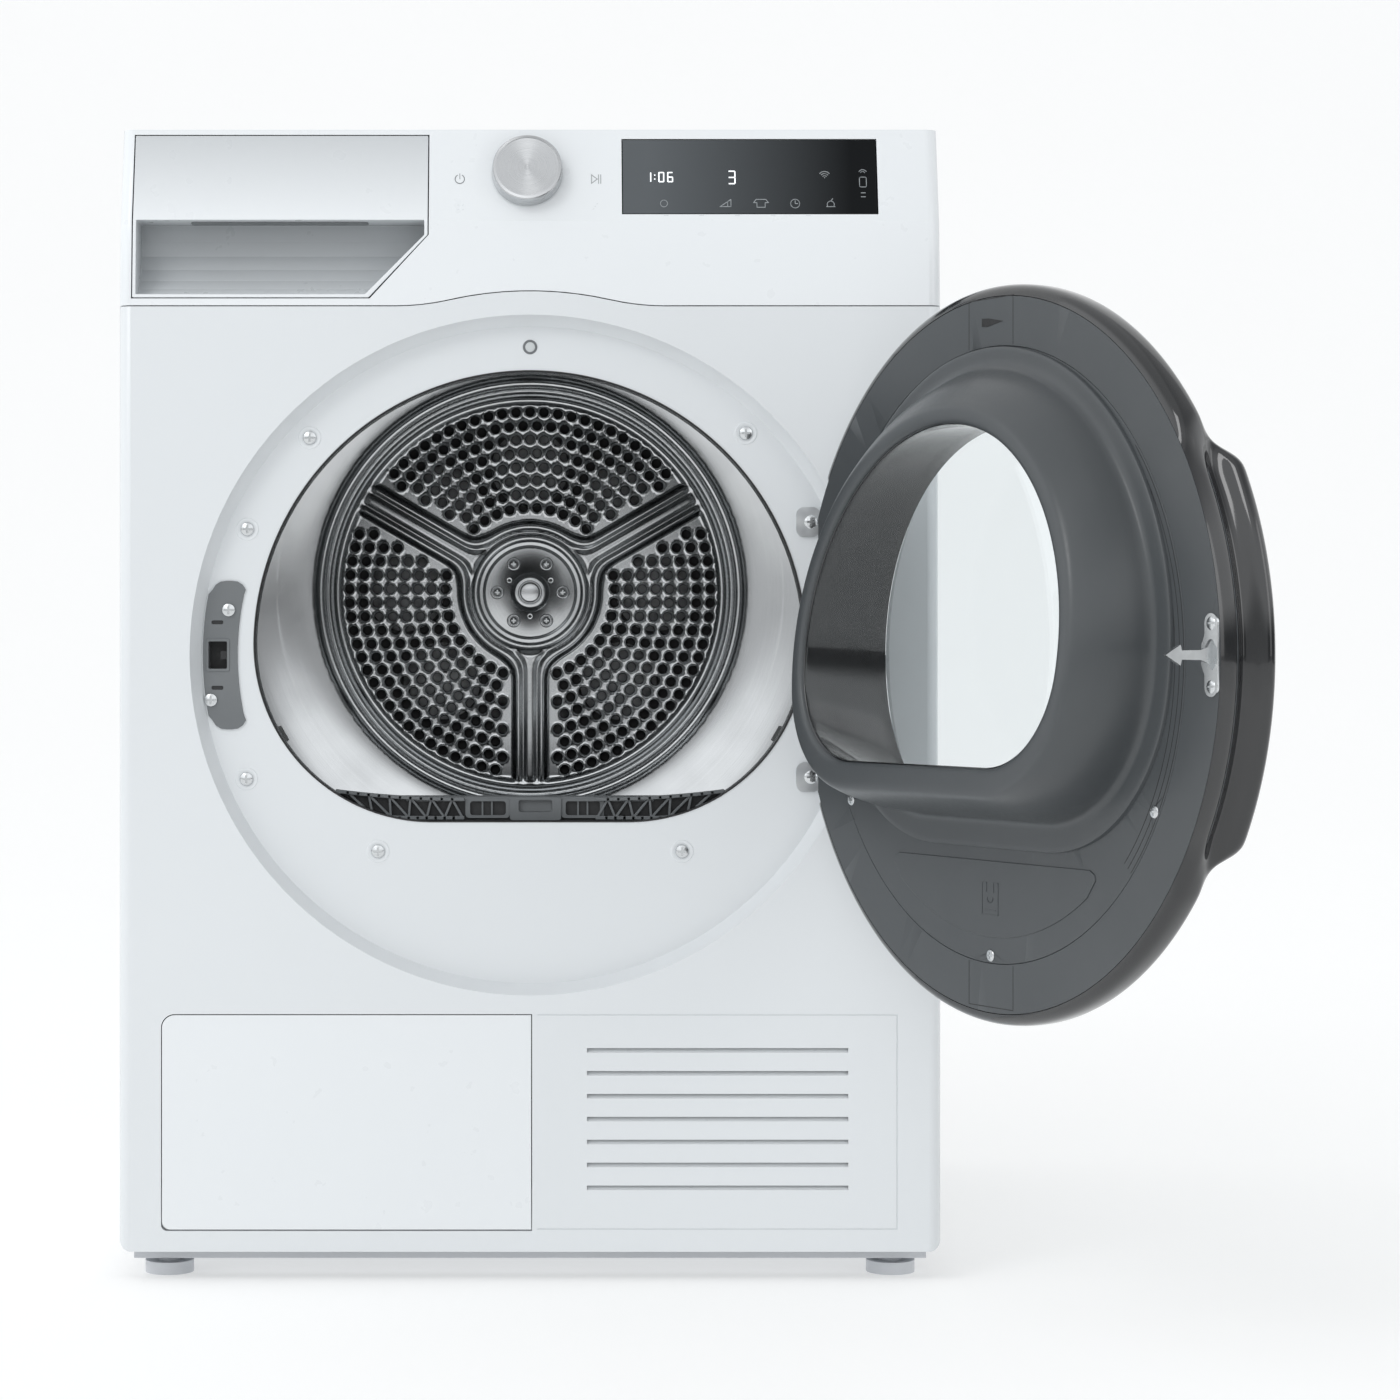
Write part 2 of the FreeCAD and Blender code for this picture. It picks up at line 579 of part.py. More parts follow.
def arch_outline(made, radius_less, seam_less):
    """The seam between front panel and fascia: straight, blended into an arch round the dish."""
    radius = size["arch_radius"] - radius_less
    blend = size["arch_blend"]
    level = size["seam_z"] - seam_less
    rise = level + blend - size["ring_z"]
    reach = math.sqrt((radius + blend) ** 2 - rise ** 2)
    turn = math.atan2(rise, reach)
    centre = Vector(0, size["ring_z"], 0)
    normal = Vector(0, 0, 1)
    low = level - 4
    right = Part.Circle(Vector(reach, level + blend, 0), normal, blend)
    left = Part.Circle(Vector(-reach, level + blend, 0), normal, blend)
    pieces = [
        Part.ArcOfCircle(right, math.pi + turn, 1.5 * math.pi),
        Part.ArcOfCircle(Part.Circle(centre, normal, radius), turn, math.pi - turn),
        Part.ArcOfCircle(left, 1.5 * math.pi, 2 * math.pi - turn),
        Part.LineSegment(Vector(-reach, level, 0), Vector(-reach, low, 0)),
        Part.LineSegment(Vector(-reach, low, 0), Vector(reach, low, 0)),
        Part.LineSegment(Vector(reach, low, 0), Vector(reach, level, 0)),
    ]
    a, b, c, d, e, f = [made.addGeometry(piece) for piece in pieces]
    made.addConstraint(Sketcher.Constraint("Tangent", a, 1, b, 1))
    made.addConstraint(Sketcher.Constraint("Tangent", b, 2, c, 2))
    for first, second in (((c, 1), (d, 1)), ((d, 2), (e, 1)), ((e, 2), (f, 1)), ((f, 2), (a, 2))):
        made.addConstraint(Sketcher.Constraint("Coincident", *first, *second))
    made.addConstraint(Sketcher.Constraint("Vertical", d))
    made.addConstraint(Sketcher.Constraint("Vertical", f))
    made.addConstraint(Sketcher.Constraint("Horizontal", e))
    made.addConstraint(Sketcher.Constraint("Vertical", a, 3, a, 2))
    made.addConstraint(Sketcher.Constraint("Vertical", c, 3, c, 1))
    made.addConstraint(Sketcher.Constraint("PointOnObject", b, 3, -2))
    made.addConstraint(Sketcher.Constraint("Equal", a, c))
    name_constraint(made, Sketcher.Constraint("Radius", b, radius), "arch", f"arch_radius - {radius_less}")
    name_constraint(made, Sketcher.Constraint("Radius", a, blend), "blend", "arch_blend")
    name_constraint(made, Sketcher.Constraint("DistanceY", -1, 1, b, 3, size["ring_z"]), "centre", "ring_z")
    name_constraint(made, Sketcher.Constraint("DistanceY", -1, 1, a, 2, level), "seam_right", f"seam_z - {seam_less}")
    name_constraint(made, Sketcher.Constraint("DistanceY", -1, 1, c, 1, level), "seam_left", f"seam_z - {seam_less}")
    name_constraint(made, Sketcher.Constraint("DistanceY", -1, 1, e, 1, low), "foot", f"seam_z - {seam_less} - 4")


OPENING_SCREWS = [polar("screw_ring", angle) for angle in (45.8, 135.4, 156, 203.6)] + [
    (f"{side} * screw_low_x", "ring_z - screw_low_z") for side in (-1, 1)
]
LATCH_SCREWS = [("-latch_x + 8", "ring_z + 33"), ("-latch_x - 5", "ring_z - 33")]
HINGE_LEVELS = ("ring_z + hinge_upper", "ring_z - hinge_lower")


def flap_corners(gap, foot_gap):
    """Left, right, bottom and top of the flap or, with no gap, of its opening."""
    along = (f"-flap_left + {gap}", f"flap_right - {gap}")
    up = (f"flap_low + {foot_gap}", f"flap_high - {gap}")
    return along, up


def front_panel():
    owner = body("front_panel")
    outline = sketch(owner, "panel_outline", "XZ_Plane", from_front("0"))
    rectangle(outline, ("-width / 2", "width / 2"), ("panel_low", "seam_z - seam_gap"))
    block = pad(owner, outline, "panel_return", reverse=True)
    front = -size["depth"] / 2
    middle = size["seam_z"] / 2

    def corner(edge):
        box_ = edge.BoundBox
        upright = runs_along(edge, Vector(0, 0, 1)) and abs(box_.YMin - front) < 1e-6
        lower = runs_along(edge, Vector(0, 1, 0)) and box_.ZMax < middle
        return upright or lower

    rounded = round_edges(owner, block, "panel_round", corner)
    rear = front + size["panel_return"]
    hollow(owner, rounded, "steel", lambda face: face.BoundBox.YMin > rear - 1e-6)
    arch = sketch(owner, "panel_arch", "XZ_Plane", from_front("0"))
    arch_outline(arch, size["seam_gap"], size["seam_gap"])
    pad(owner, arch, "steel", reverse=True)
    cone = sketch(owner, "dish_outside", "YZ_Plane", "0", "ring_z")
    cone_points = [
        (FRONT, "0"), (FRONT, "ring_radius + steel"), (f"{FLOOR} + steel", "ring_floor + steel"),
        (f"{FLOOR} + steel", "0"),
    ]
    loop(cone, cone_points)
    spin(owner, cone)
    dish = sketch(owner, "dish_inside", "YZ_Plane", "0", "ring_z")
    loop(dish, [(FRONT, "0"), (FRONT, "ring_radius"), (FLOOR, "ring_floor"), (FLOOR, "0")])
    spin(owner, dish, "Groove")
    opening = sketch(owner, "panel_opening", "XZ_Plane", from_front("0"), "ring_z")
    opening_dee(opening)
    pocket(owner, opening, "panel_return + 1")
    holes = sketch(owner, "panel_holes", "XZ_Plane", from_front("0"))
    for i, (x, z) in enumerate(OPENING_SCREWS + LATCH_SCREWS):
        circle(holes, x, z, "screw_radius + running", f"screw{i}")
    for i, z in enumerate(HINGE_LEVELS):
        circle(holes, "hinge_x - 20", z, "screw_radius + running", f"hinge{i}")
        rectangle(holes, ("hinge_x - 10", "hinge_x + 10"), (f"{z} - hinge_plate", f"{z} + hinge_plate"), f"ear{i}_")
    latch_z = ("ring_z - latch_tall / 2 - 4", "ring_z + latch_tall / 2 + 4")
    rectangle(holes, ("-latch_x - latch_wide / 2 - 3", "-latch_x + latch_wide / 2 + 3"), latch_z, "latch")
    pocket(owner, holes, "panel_return + 1")
    flap = sketch(owner, "panel_flap_opening", "XZ_Plane", from_front("0"))
    rectangle(flap, *flap_corners("0", "0"))
    for i in range(int(size["louvre_count"])):
        low = f"louvre_low + {i} * louvre_pitch"
        rectangle(flap, ("louvre_left", "louvre_right"), (low, f"{low} + louvre_high"), f"louvre{i}_")
    openings = pocket(owner, flap, "steel * 2")

    def flap_corner(level):
        def wanted(edge):
            box_ = edge.BoundBox
            at_corner = abs(box_.ZMin - level) < 0.1 and abs(box_.XMin + size["flap_left"]) < 0.1
            return runs_along(edge, Vector(0, 1, 0)) and at_corner
        return wanted

    eased = round_edges(owner, openings, "flap_round", flap_corner(size["flap_high"]))
    round_edges(owner, eased, "flap_foot_round", flap_corner(size["flap_low"]))
    line = sketch(owner, "panel_emboss", "XZ_Plane", from_front("0"))
    outer_x = ("flap_right + 4", "emboss_right")
    rectangle(line, outer_x, ("flap_high - emboss_line", "flap_high"), "top")
    rectangle(line, outer_x, ("flap_low + 1", "flap_low + 1 + emboss_line"), "low")
    upright_z = ("flap_low + 1 + emboss_line", "flap_high - emboss_line")
    rectangle(line, ("emboss_right - emboss_line", "emboss_right"), upright_z, "side")
    pocket(owner, line, "emboss_depth")
    return node(owner, "front_panel")


def service_flap():
    owner = body("flap_plate")
    outline = sketch(owner, "flap_outline", "XZ_Plane", from_front("0"))
    rectangle(outline, *flap_corners("flap_gap", "flap_foot_gap"))
    plate = pad(owner, outline, "flap_thick", reverse=True)

    middle = (size["flap_low"] + size["flap_high"]) / 2

    def left_corner(upper):
        def wanted(edge):
            box_ = edge.BoundBox
            at_left = box_.XMax < -size["flap_left"] / 2
            return runs_along(edge, Vector(0, 1, 0)) and at_left and (box_.ZMin > middle) == upper
        return wanted

    eased = round_edges(owner, plate, "flap_round - flap_gap", left_corner(True))
    round_edges(owner, eased, "flap_foot_round + 1.6", left_corner(False))
    pieces = [owner]
    for i, start in enumerate(("-flap_left + 24", "flap_right - 34")):
        centre = (f"{FRONT} + flap_pin_y", "flap_pin_z")
        pieces.append(rod(f"flap_knuckle_{i}", "x", "flap_knuckle", centre, (start, f"{start} + 10")))
        pieces.append(rod(f"flap_stub_{i}", "x", "flap_pin", centre, (f"{start} - 8", f"{start} + 18")))
    return node(join("service_flap", *pieces), "service_flap")


def vent_grille():
    """Louvre insert behind the slots of the front panel."""
    back = ("-depth / 2 + steel", "-depth / 2 + steel + grille_depth")
    x = ("louvre_left - 6", "louvre_right + 6")
    z = ("louvre_low - 10", "louvre_low + louvre_count * louvre_pitch + 2")
    frame = box("grille_block", x, back, z)
    window = box("grille_window", ("louvre_left - 2", "louvre_right + 2"), (f"{back[0]} - 1", f"{back[1]} + 1"),
                 ("louvre_low - 7", "louvre_low + louvre_count * louvre_pitch - 1"))
    ring = cut("grille_frame", frame, window)
    blades = []
    for i in range(int(size["louvre_count"])):
        blade = doc.addObject("Part::Box", f"grille_blade_{i}")
        blade.Placement = FreeCAD.Placement(Vector(), FreeCAD.Rotation(Vector(1, 0, 0), 50))
        bind(blade, "Length", "louvre_right - louvre_left + 6")
        bind(blade, "Width", "grille_depth * 1.3")
        bind(blade, "Height", "steel")
        bind_base(blade, "louvre_left - 3", f"{back[0]} + 1", f"louvre_low + {i} * louvre_pitch - 1")
        blades.append(blade)
    return node(join("vent_grille", ring, *blades), "vent_grille")


def control_fascia():
    owner = body("control_fascia")
    profile = sketch(owner, "fascia_profile", "YZ_Plane", "-width / 2")
    top = bar_y("height")
    loop(profile, [
        (FRONT, "seam_z"), (f"{FRONT} + bar_start", "bar_z"), (top, "height"),
        (f"{FRONT} + fascia_depth", "height"), (f"{FRONT} + fascia_depth", "seam_z"),
    ])
    block = pad(owner, profile, "width")
    front = -size["depth"] / 2
    reach = front + size["fascia_depth"] / 2

    def corner(edge):
        box_ = edge.BoundBox
        flat_ends = abs(abs(box_.XMin) - size["width"] / 2) < 1e-6 and box_.XLength < 1e-6
        return flat_ends and box_.YMax < reach and box_.ZLength > 20

    rounded = round_edges(owner, block, "panel_round", corner)
    rear = front + size["fascia_depth"]
    hollow(owner, rounded, "plastic", lambda face: face.BoundBox.YMin > rear - 1e-6)
    relief = sketch(owner, "fascia_relief", "XY_Plane", "seam_z + plastic")
    relief_x = ("-width / 2 + flange + 2", "width / 2 - flange - 2")
    rectangle(relief, relief_x, (f"{FRONT} + fascia_flange", f"{FRONT} + fascia_depth + 1"))
    pocket(owner, relief, "plastic + 1")
    arch = sketch(owner, "fascia_arch", "XZ_Plane", from_front("-1"))
    arch_outline(arch, 0, 0)
    pocket(owner, arch, "fascia_depth + 2")
    holes = sketch(owner, "fascia_holes", "XZ_Plane", from_front("-1"))
    loop(holes, drawer_outline("0"), "drawer")
    rectangle(holes, ("display_left - seam_gap", "display_right + seam_gap"),
              ("display_low - seam_gap", "display_high + seam_gap"), "display")
    circle(holes, "knob_x", "knob_z", "knob_shaft + 1.5", "knob")
    pocket(owner, holes, "fascia_depth")
    return node(owner, "control_fascia")


def drawer_outline(gap):
    """Front view of the drawer front, or of its opening with no gap."""
    return [
        (f"-drawer_left + {gap}", f"drawer_low + {gap}"), (f"-drawer_cut - {gap}", f"drawer_low + {gap}"),
        (f"-drawer_right - {gap}", "drawer_step"), (f"-drawer_right - {gap}", f"drawer_high - {gap}"),
        (f"-drawer_left + {gap}", f"drawer_high - {gap}"),
    ]


def drawer_front():
    owner = body("drawer_block")
    profile = sketch(owner, "drawer_profile", "YZ_Plane", "-drawer_left + seam_gap")
    loop(profile, [
        (FRONT + " + bar_start * (drawer_low - seam_z) / (bar_z - seam_z)", "drawer_low"),
        (f"{FRONT} + bar_start", "bar_z"), (bar_y("drawer_high"), "drawer_high"),
        (f"{FRONT} + drawer_depth", "drawer_high"), (f"{FRONT} + drawer_depth", "drawer_low"),
    ])
    pad(owner, profile, "drawer_left - drawer_right - 2 * seam_gap")
    mask = prism("drawer_mask", "XZ_Plane", from_front("-1"), "drawer_depth + 2", drawer_outline("seam_gap"))
    shaped = common("drawer_shaped", owner, mask)
    outline = prism("drawer_grip_outline", "XZ_Plane", from_front("-1"), "grip_depth + 1", [
        ("-drawer_left + seam_gap + plastic", "drawer_low + seam_gap + plastic"),
        ("-drawer_cut - seam_gap - plastic", "drawer_low + seam_gap + plastic"),
        ("-drawer_right - seam_gap - plastic", "drawer_step"),
        ("-drawer_right - seam_gap - plastic", "grip_high"), ("-drawer_left + seam_gap + plastic", "grip_high"),
    ])
    low = "(drawer_low + seam_gap + plastic)"
    hollow_ = [(f"{FRONT} - 1", "grip_high"), (f"{FRONT} + grip_depth", "grip_high")]
    for i in range(7):
        along = f"{FRONT} + grip_nose + (grip_depth - grip_nose) * cos({15 * i})"
        hollow_.append((along, f"(grip_high - 12) - (grip_high - 12 - {low}) * sin({15 * i})"))
    hollow_.append((f"{FRONT} - 1", low))
    sweep = prism("drawer_grip_sweep", "YZ_Plane", "-drawer_left", "drawer_left - drawer_right", hollow_)
    grip = common("drawer_grip", outline, sweep)
    inside = prism("drawer_inside", "YZ_Plane", "-drawer_left + seam_gap + plastic",
                   "drawer_left - drawer_right - 2 * seam_gap - 2 * plastic", [
                       (f"{bar_y('grip_high')} + plastic * 1.2", "grip_high + plastic"),
                       (f"{bar_y('drawer_high')} + plastic * 1.2", "drawer_high - seam_gap - plastic"),
                       (f"{FRONT} + drawer_depth + 1", "drawer_high - seam_gap - plastic"),
                       (f"{FRONT} + drawer_depth + 1", "grip_high + plastic"),
                   ])
    return node(cut("drawer_front", shaped, grip, inside), "drawer_front")


def lean(thing, angle):
    """Lean a piece about its base with the fascia's bar."""
    thing.Placement = FreeCAD.Placement(Vector(), FreeCAD.Rotation(Vector(1, 0, 0), 1))
    bind(thing, "Placement.Rotation.Angle", angle)


def display_glass():
    glass = doc.addObject("Part::Box", "display_glass")
    lean(glass, "-bar_lean")
    bind(glass, "Length", "display_right - display_left")
    bind(glass, "Width", "display_thick")
    bind(glass, "Height", "(display_high - display_low) / cos(bar_lean)")
    bind_base(glass, "display_left", bar_y("display_low"), "display_low")
    return node(glass, "display_glass")


def behind_bar(up, distance):
    """Y and Z of a point behind the bar's plane, below the point at a height."""
    return f"{bar_y(up)} + ({distance}) * cos(bar_lean)", f"({up}) - ({distance}) * sin(bar_lean)"


def control_board():
    """Circuit board with the encoder and its shaft for the knob."""
    board = doc.addObject("Part::Box", "board_plate")
    lean(board, "-bar_lean")
    y, z = behind_bar("display_low", "board_back")
    bind(board, "Length", "display_right + 40")
    bind(board, "Width", "1.6")
    bind(board, "Height", "display_high - display_low")
    bind_base(board, "-40", y, z)
    pieces = [board]
    for name, radius, front in (("encoder", "8", "6"), ("encoder_shaft", "knob_shaft", "-8")):
        turned = doc.addObject("Part::Cylinder", name)
        lean(turned, "90 - bar_lean")
        y, z = behind_bar("knob_z", "board_back")
        bind(turned, "Radius", radius)
        bind(turned, "Height", f"board_back - ({front})")
        bind_base(turned, "knob_x", y, z)
        pieces.append(turned)
    return node(join("control_board", *pieces), "control_board")


def program_knob():
    owner = body("program_knob")
    profile = sketch(owner, "knob_profile", "XZ_Plane")
    bore = "knob_shaft + running"
    loop(profile, [
        (bore, "knob_lift"), ("knob_radius - 0.6", "knob_lift"), ("knob_radius", "knob_lift + 0.6"),
        ("knob_radius - 0.9", "knob_high - 0.5"), ("knob_radius - 1.8", "knob_high"), ("0", "knob_high - 0.7"),
        ("0", "knob_high - 3.5"), (bore, "knob_high - 3.5"),
    ])
    spin(owner, profile, axis="V_Axis")
    lean(owner, "90 - bar_lean")
    bind_base(owner, "knob_x", bar_y("knob_z"), "knob_z")
    return node(owner, "program_knob")


def top_cover():
    owner = body("top_cover")
    outline = sketch(owner, "cover_outline", "XY_Plane", "height - cover_thick")
    rectangle(outline, ("-width / 2", "width / 2"), (f"{FRONT} + cover_setback", REAR))
    block = pad(owner, outline, "cover_thick")
    top = size["height"]

    def upper(edge):
        return edge.BoundBox.ZMin > top - 1e-6 and edge.BoundBox.YMax > 0

    round_edges(owner, block, "3", upper)
    return node(owner, "top_cover")


def rear_panel():
    owner = body("rear_panel")
    outline = sketch(owner, "rear_outline", "XZ_Plane", f"-({REAR} - steel)")
    rectangle(outline, ("-width / 2 + 1", "width / 2 - 1"), ("panel_low", "height - cover_thick - fit"))
    pad(owner, outline, "steel", reverse=True)
    holes = sketch(owner, "rear_holes", "XZ_Plane", f"-({REAR} - steel - 1)")
    circle(holes, "0", "drum_z", "duct_cover_radius - 12", "duct")
    circle(holes, "spigot_x", "spigot_z", "spigot_radius + spigot_room", "spigot")
    circle(holes, "inlet_x", "inlet_z", "inlet_radius - 3 + fit", "inlet")
    for i in range(6):
        low = f"panel_low + 67 + {i} * 14"
        rectangle(holes, ("-120", "-10"), (low, f"{low} + 5"), f"vent{i}_")
        rectangle(holes, ("10", "120"), (low, f"{low} + 5"), f"slot{i}_")
    pocket(owner, holes, "steel + 2")
    return node(owner, "rear_panel")


def rear_duct_cover():
    """Pressed round cover over the air duct behind the drum."""
    outer = "depth / 2"
    owner = revolved("rear_duct_cover", "drum_z", [
        (REAR, "duct_cover_radius"), (f"{REAR} + steel", "duct_cover_radius"),
        (f"{REAR} + steel", "duct_cover_radius - 14"), (outer, "duct_cover_radius - 26"), (outer, "60"),
        (f"{outer} - 4", "54"), (f"{outer} - 4", "0"), (f"{outer} - 4 - steel", "0"),
        (f"{outer} - 4 - steel", "54.6"), (f"{outer} - steel", "60.6"),
        (f"{outer} - steel", "duct_cover_radius - 26.8"), (REAR, "duct_cover_radius - 15.2"),
    ])
    return node(owner, "rear_duct_cover")


# ------------------------------------------------------------------------------------------------
# Dish and opening
# ------------------------------------------------------------------------------------------------
def latch_housing():
    """Plate on the dish floor with the latch box behind it."""
    y = (f"{FLOOR} - latch_plate", FLOOR)
    disc = rod("latch_disc", "y", "ring_floor - 0.6", ("0", "ring_z"), y)
    bore = rod("latch_disc_bore", "y", "latch_inner", ("0", "ring_z"), (f"{y[0]} - 1", f"{y[1]} + 1"))
    limit = box("latch_limit", ("-width / 2", "0"), (y[0], y[1]), ("ring_z - latch_half", "ring_z + latch_half"))
    plate = common("latch_plate_sector", cut("latch_annulus", disc, bore), limit)
    wall_x = ("-latch_x - latch_wide / 2 - 2", "-latch_x + latch_wide / 2 + 2")
    wall_z = ("ring_z - latch_tall / 2 - 2", "ring_z + latch_tall / 2 + 2")
    case = box("latch_case", wall_x, (y[0], f"{FLOOR} + latch_deep"), wall_z)
    hole = box("latch_hole", ("-latch_x - latch_wide / 2", "-latch_x + latch_wide / 2"),
               (f"{y[0]} - 1", f"{FLOOR} + latch_deep - 2"),
               ("ring_z - latch_tall / 2", "ring_z + latch_tall / 2"))
    holes = [rod(f"latch_screw_hole_{i}", "y", "screw_radius + running", place, (f"{y[0]} - 1", f"{y[1]} + 1"))
             for i, place in enumerate(LATCH_SCREWS)]
    return node(cut("latch_housing", join("latch_solid", plate, case), hole, *holes), "latch_housing")


def opening_screws():
    made = [screw(f"opening_screw_{i}", x, FLOOR, z) for i, (x, z) in enumerate(OPENING_SCREWS)]
    made += [screw(f"latch_screw_{i}", x, f"({FLOOR} - latch_plate)", z) for i, (x, z) in enumerate(LATCH_SCREWS)]
    return node(group("opening_screws", *made), "opening_screws")


def hinge_screws():
    made = [screw(f"hinge_screw_{i}", "hinge_x - 20", f"({FLOOR} - 2)", z, "flat_head_high") for i, z in enumerate(HINGE_LEVELS)]
    return node(group("hinge_screws", *made), "hinge_screws")


def hinge_brackets():
    """Pad on the dish floor, ear that reaches forward, and the riveted pin."""
    made = []
    for i, z in enumerate(HINGE_LEVELS):
        pad_ = box(f"hinge_pad_{i}", ("hinge_x - 30", "hinge_x - 13"), (f"{FLOOR} - 2", FLOOR), (f"{z} - 11", f"{z} + 11"))
        span = (f"{z} - hinge_plate / 2", f"{z} + hinge_plate / 2")
        strap = box(f"hinge_strap_{i}", ("hinge_x - 18", "hinge_x + 8"), (f"{FLOOR} - 2", FLOOR), span)
        ear = box(f"hinge_ear_{i}", ("hinge_x - 8", "hinge_x + 8"), (HINGE_Y, FLOOR), span)
        eye = rod(f"hinge_eye_{i}", "z", "hinge_eye", ("hinge_x", HINGE_Y), span)
        pin = rod(f"hinge_pin_{i}", "z", "hinge_pin", ("hinge_x", HINGE_Y), (f"{z} - 3", f"{z} + 9"))
        hole = rod(f"hinge_screw_hole_{i}", "y", "screw_radius + running", ("hinge_x - 20", z),
                   (f"{FLOOR} - 3", f"{FLOOR} + 1"))
        made.append(cut(f"hinge_bracket_{i}", join(f"hinge_bracket_solid_{i}", pad_, strap, ear, eye, pin), hole))
    return node(group("hinge_brackets", *made), "hinge_brackets")


def roller_place(side):
    reach = "(drum_band + roller_radius + fit)"
    return f"{side} * {reach} * sin(roller_angle)", f"drum_z - {reach} * cos(roller_angle)"


def front_bulkhead():
    """Steel plate behind the front panel: collar round the opening, rim for the felt, roller axles."""
    owner = body("bulkhead_plate")
    start = "bulkhead_front"
    outline = sketch(owner, "bulkhead_outline", "XZ_Plane", from_front(start))
    rectangle(outline, ("-width / 2 + flange + 2", "width / 2 - flange - 2"), ("base_high + 146", "seam_z - 3"))
    pad(owner, outline, "steel", reverse=True)
    crown = sketch(owner, "bulkhead_crown", "XZ_Plane", from_front(start))
    circle(crown, "0", "drum_z", "drum_band + 4")
    pad(owner, crown, "steel", reverse=True)
    rim = sketch(owner, "bulkhead_rim", "YZ_Plane", "0", "drum_z")
    rim_start = f"{FRONT} + bulkhead_front"
    loop(rim, [(rim_start, "rim_inner"), (rim_start, "rim_outer"), (f"{DRUM_START} + 14", "rim_outer"),
               (f"{DRUM_START} + 14", "rim_inner")])
    spin(owner, rim)
    collar = sketch(owner, "bulkhead_collar", "XZ_Plane", from_front("ring_depth + steel + fit"), "ring_z")
    opening_dee(collar, 1.5)
    pad(owner, collar, "bulkhead_front - ring_depth - steel - fit", reverse=True)
    opening = sketch(owner, "bulkhead_opening", "XZ_Plane", from_front("0"), "ring_z")
    opening_dee(opening, 0)
    pocket(owner, opening, "bulkhead_front + 3 * steel")
    latch = sketch(owner, "bulkhead_latch_window", "XZ_Plane", from_front("bulkhead_front - 1"))
    rectangle(latch, ("-latch_x - latch_wide / 2 - 4", "-latch_x + latch_wide / 2 + 4"),
              ("ring_z - latch_tall / 2 - 4", "ring_z + latch_tall / 2 + 4"))
    pocket(owner, latch, "steel + 2")
    pieces = [owner]
    for i, side in enumerate((-1, 1)):
        pieces.append(rod(f"roller_axle_{i}", "y", "axle_radius", roller_place(side), (rim_start, f"{DRUM_START} + 20")))
    return node(join("front_bulkhead", *pieces), "front_bulkhead")


def drum_front_seal():
    """Felt ring on the bulkhead's rim, inside the drum's front band."""
    start = f"{DRUM_START} + 2"
    made = tube("drum_front_seal", "y", "drum_band - steel - fit", "rim_outer", ("0", "drum_z"), (start, f"{start} + 12"))
    return node(made, "drum_front_seal")


def lint_duct():
    """Housing under the opening: lattice grille at the sides and the slot that holds the filter."""
    y = (f"{FRONT} + duct_front", f"{FRONT} + duct_back")
    band = body("duct_band")
    outline = sketch(band, "duct_dee", "XZ_Plane", from_front("duct_front"), "ring_z")
    opening_dee(outline, -1.5)
    pad(band, outline, "duct_back - duct_front", reverse=True)
    limit = box("duct_limit", ("-width / 2", "width / 2"), y, ("ring_z - dee_flat", "ring_z - filter_top"))
    shelf = common("duct_shelf", band, limit)
    tongue = box("duct_tongue", ("-filter_half - 5", "filter_half + 5"), y, ("filter_low - 4", "ring_z - dee_flat + 4"))
    slot = box("duct_slot", ("-filter_half - 2", "filter_half + 2"), (f"{y[0]} + 2", f"{y[1]} - 2"),
               ("filter_low - 2", "ring_z"))
    return node(cut("lint_duct", join("duct_solid", shelf, tongue), slot), "lint_duct")


def lint_filter():
    """Pull-out filter: frame with a top grille and handle, and the mesh it holds."""
    y = (f"{FRONT} + duct_front + 2.5", f"{FRONT} + duct_back - 2.5")
    x = ("-filter_half", "filter_half")
    top = "ring_z - filter_top"
    block = box("filter_block", x, y, ("filter_low", top))
    hole = box("filter_window", ("-filter_half + 7", "filter_half - 7"), (f"{y[0]} - 1", f"{y[1]} + 1"),
               ("filter_low + 7", f"{top} - 16"))
    thumb = box("filter_thumb", ("-12", "20"), (f"{y[0]} - 1", f"{y[0]} + 5"), (f"{top} - 9", f"{top} + 1"))
    frame = cut("filter_frame", block, hole, thumb)
    mesh = box("filter_mesh", ("-filter_half + 7", "filter_half - 7"), (f"{y[0]} + 5", f"{y[0]} + 5.6"),
               ("filter_low + 7", f"{top} - 16"))
    return node(frame, "lint_filter_frame"), node(mesh, "lint_filter_mesh")


# ------------------------------------------------------------------------------------------------
# Drum
# ------------------------------------------------------------------------------------------------
def drum_shell():
    band = "drum_band_wide"
    outside = [(DRUM_START, "drum_band"), (f"{DRUM_START} + {band}", "drum_band"),
               (f"{DRUM_START} + {band} + 8", "drum_radius"), (f"{DRUM_END} - {band} - 8", "drum_radius"),
               (f"{DRUM_END} - {band}", "drum_band"), (DRUM_END, "drum_band")]
    inside = [(y, f"{radius} - steel") for y, radius in reversed(outside)]
    return node(revolved("drum_shell", "drum_z", outside + inside), "drum_shell")


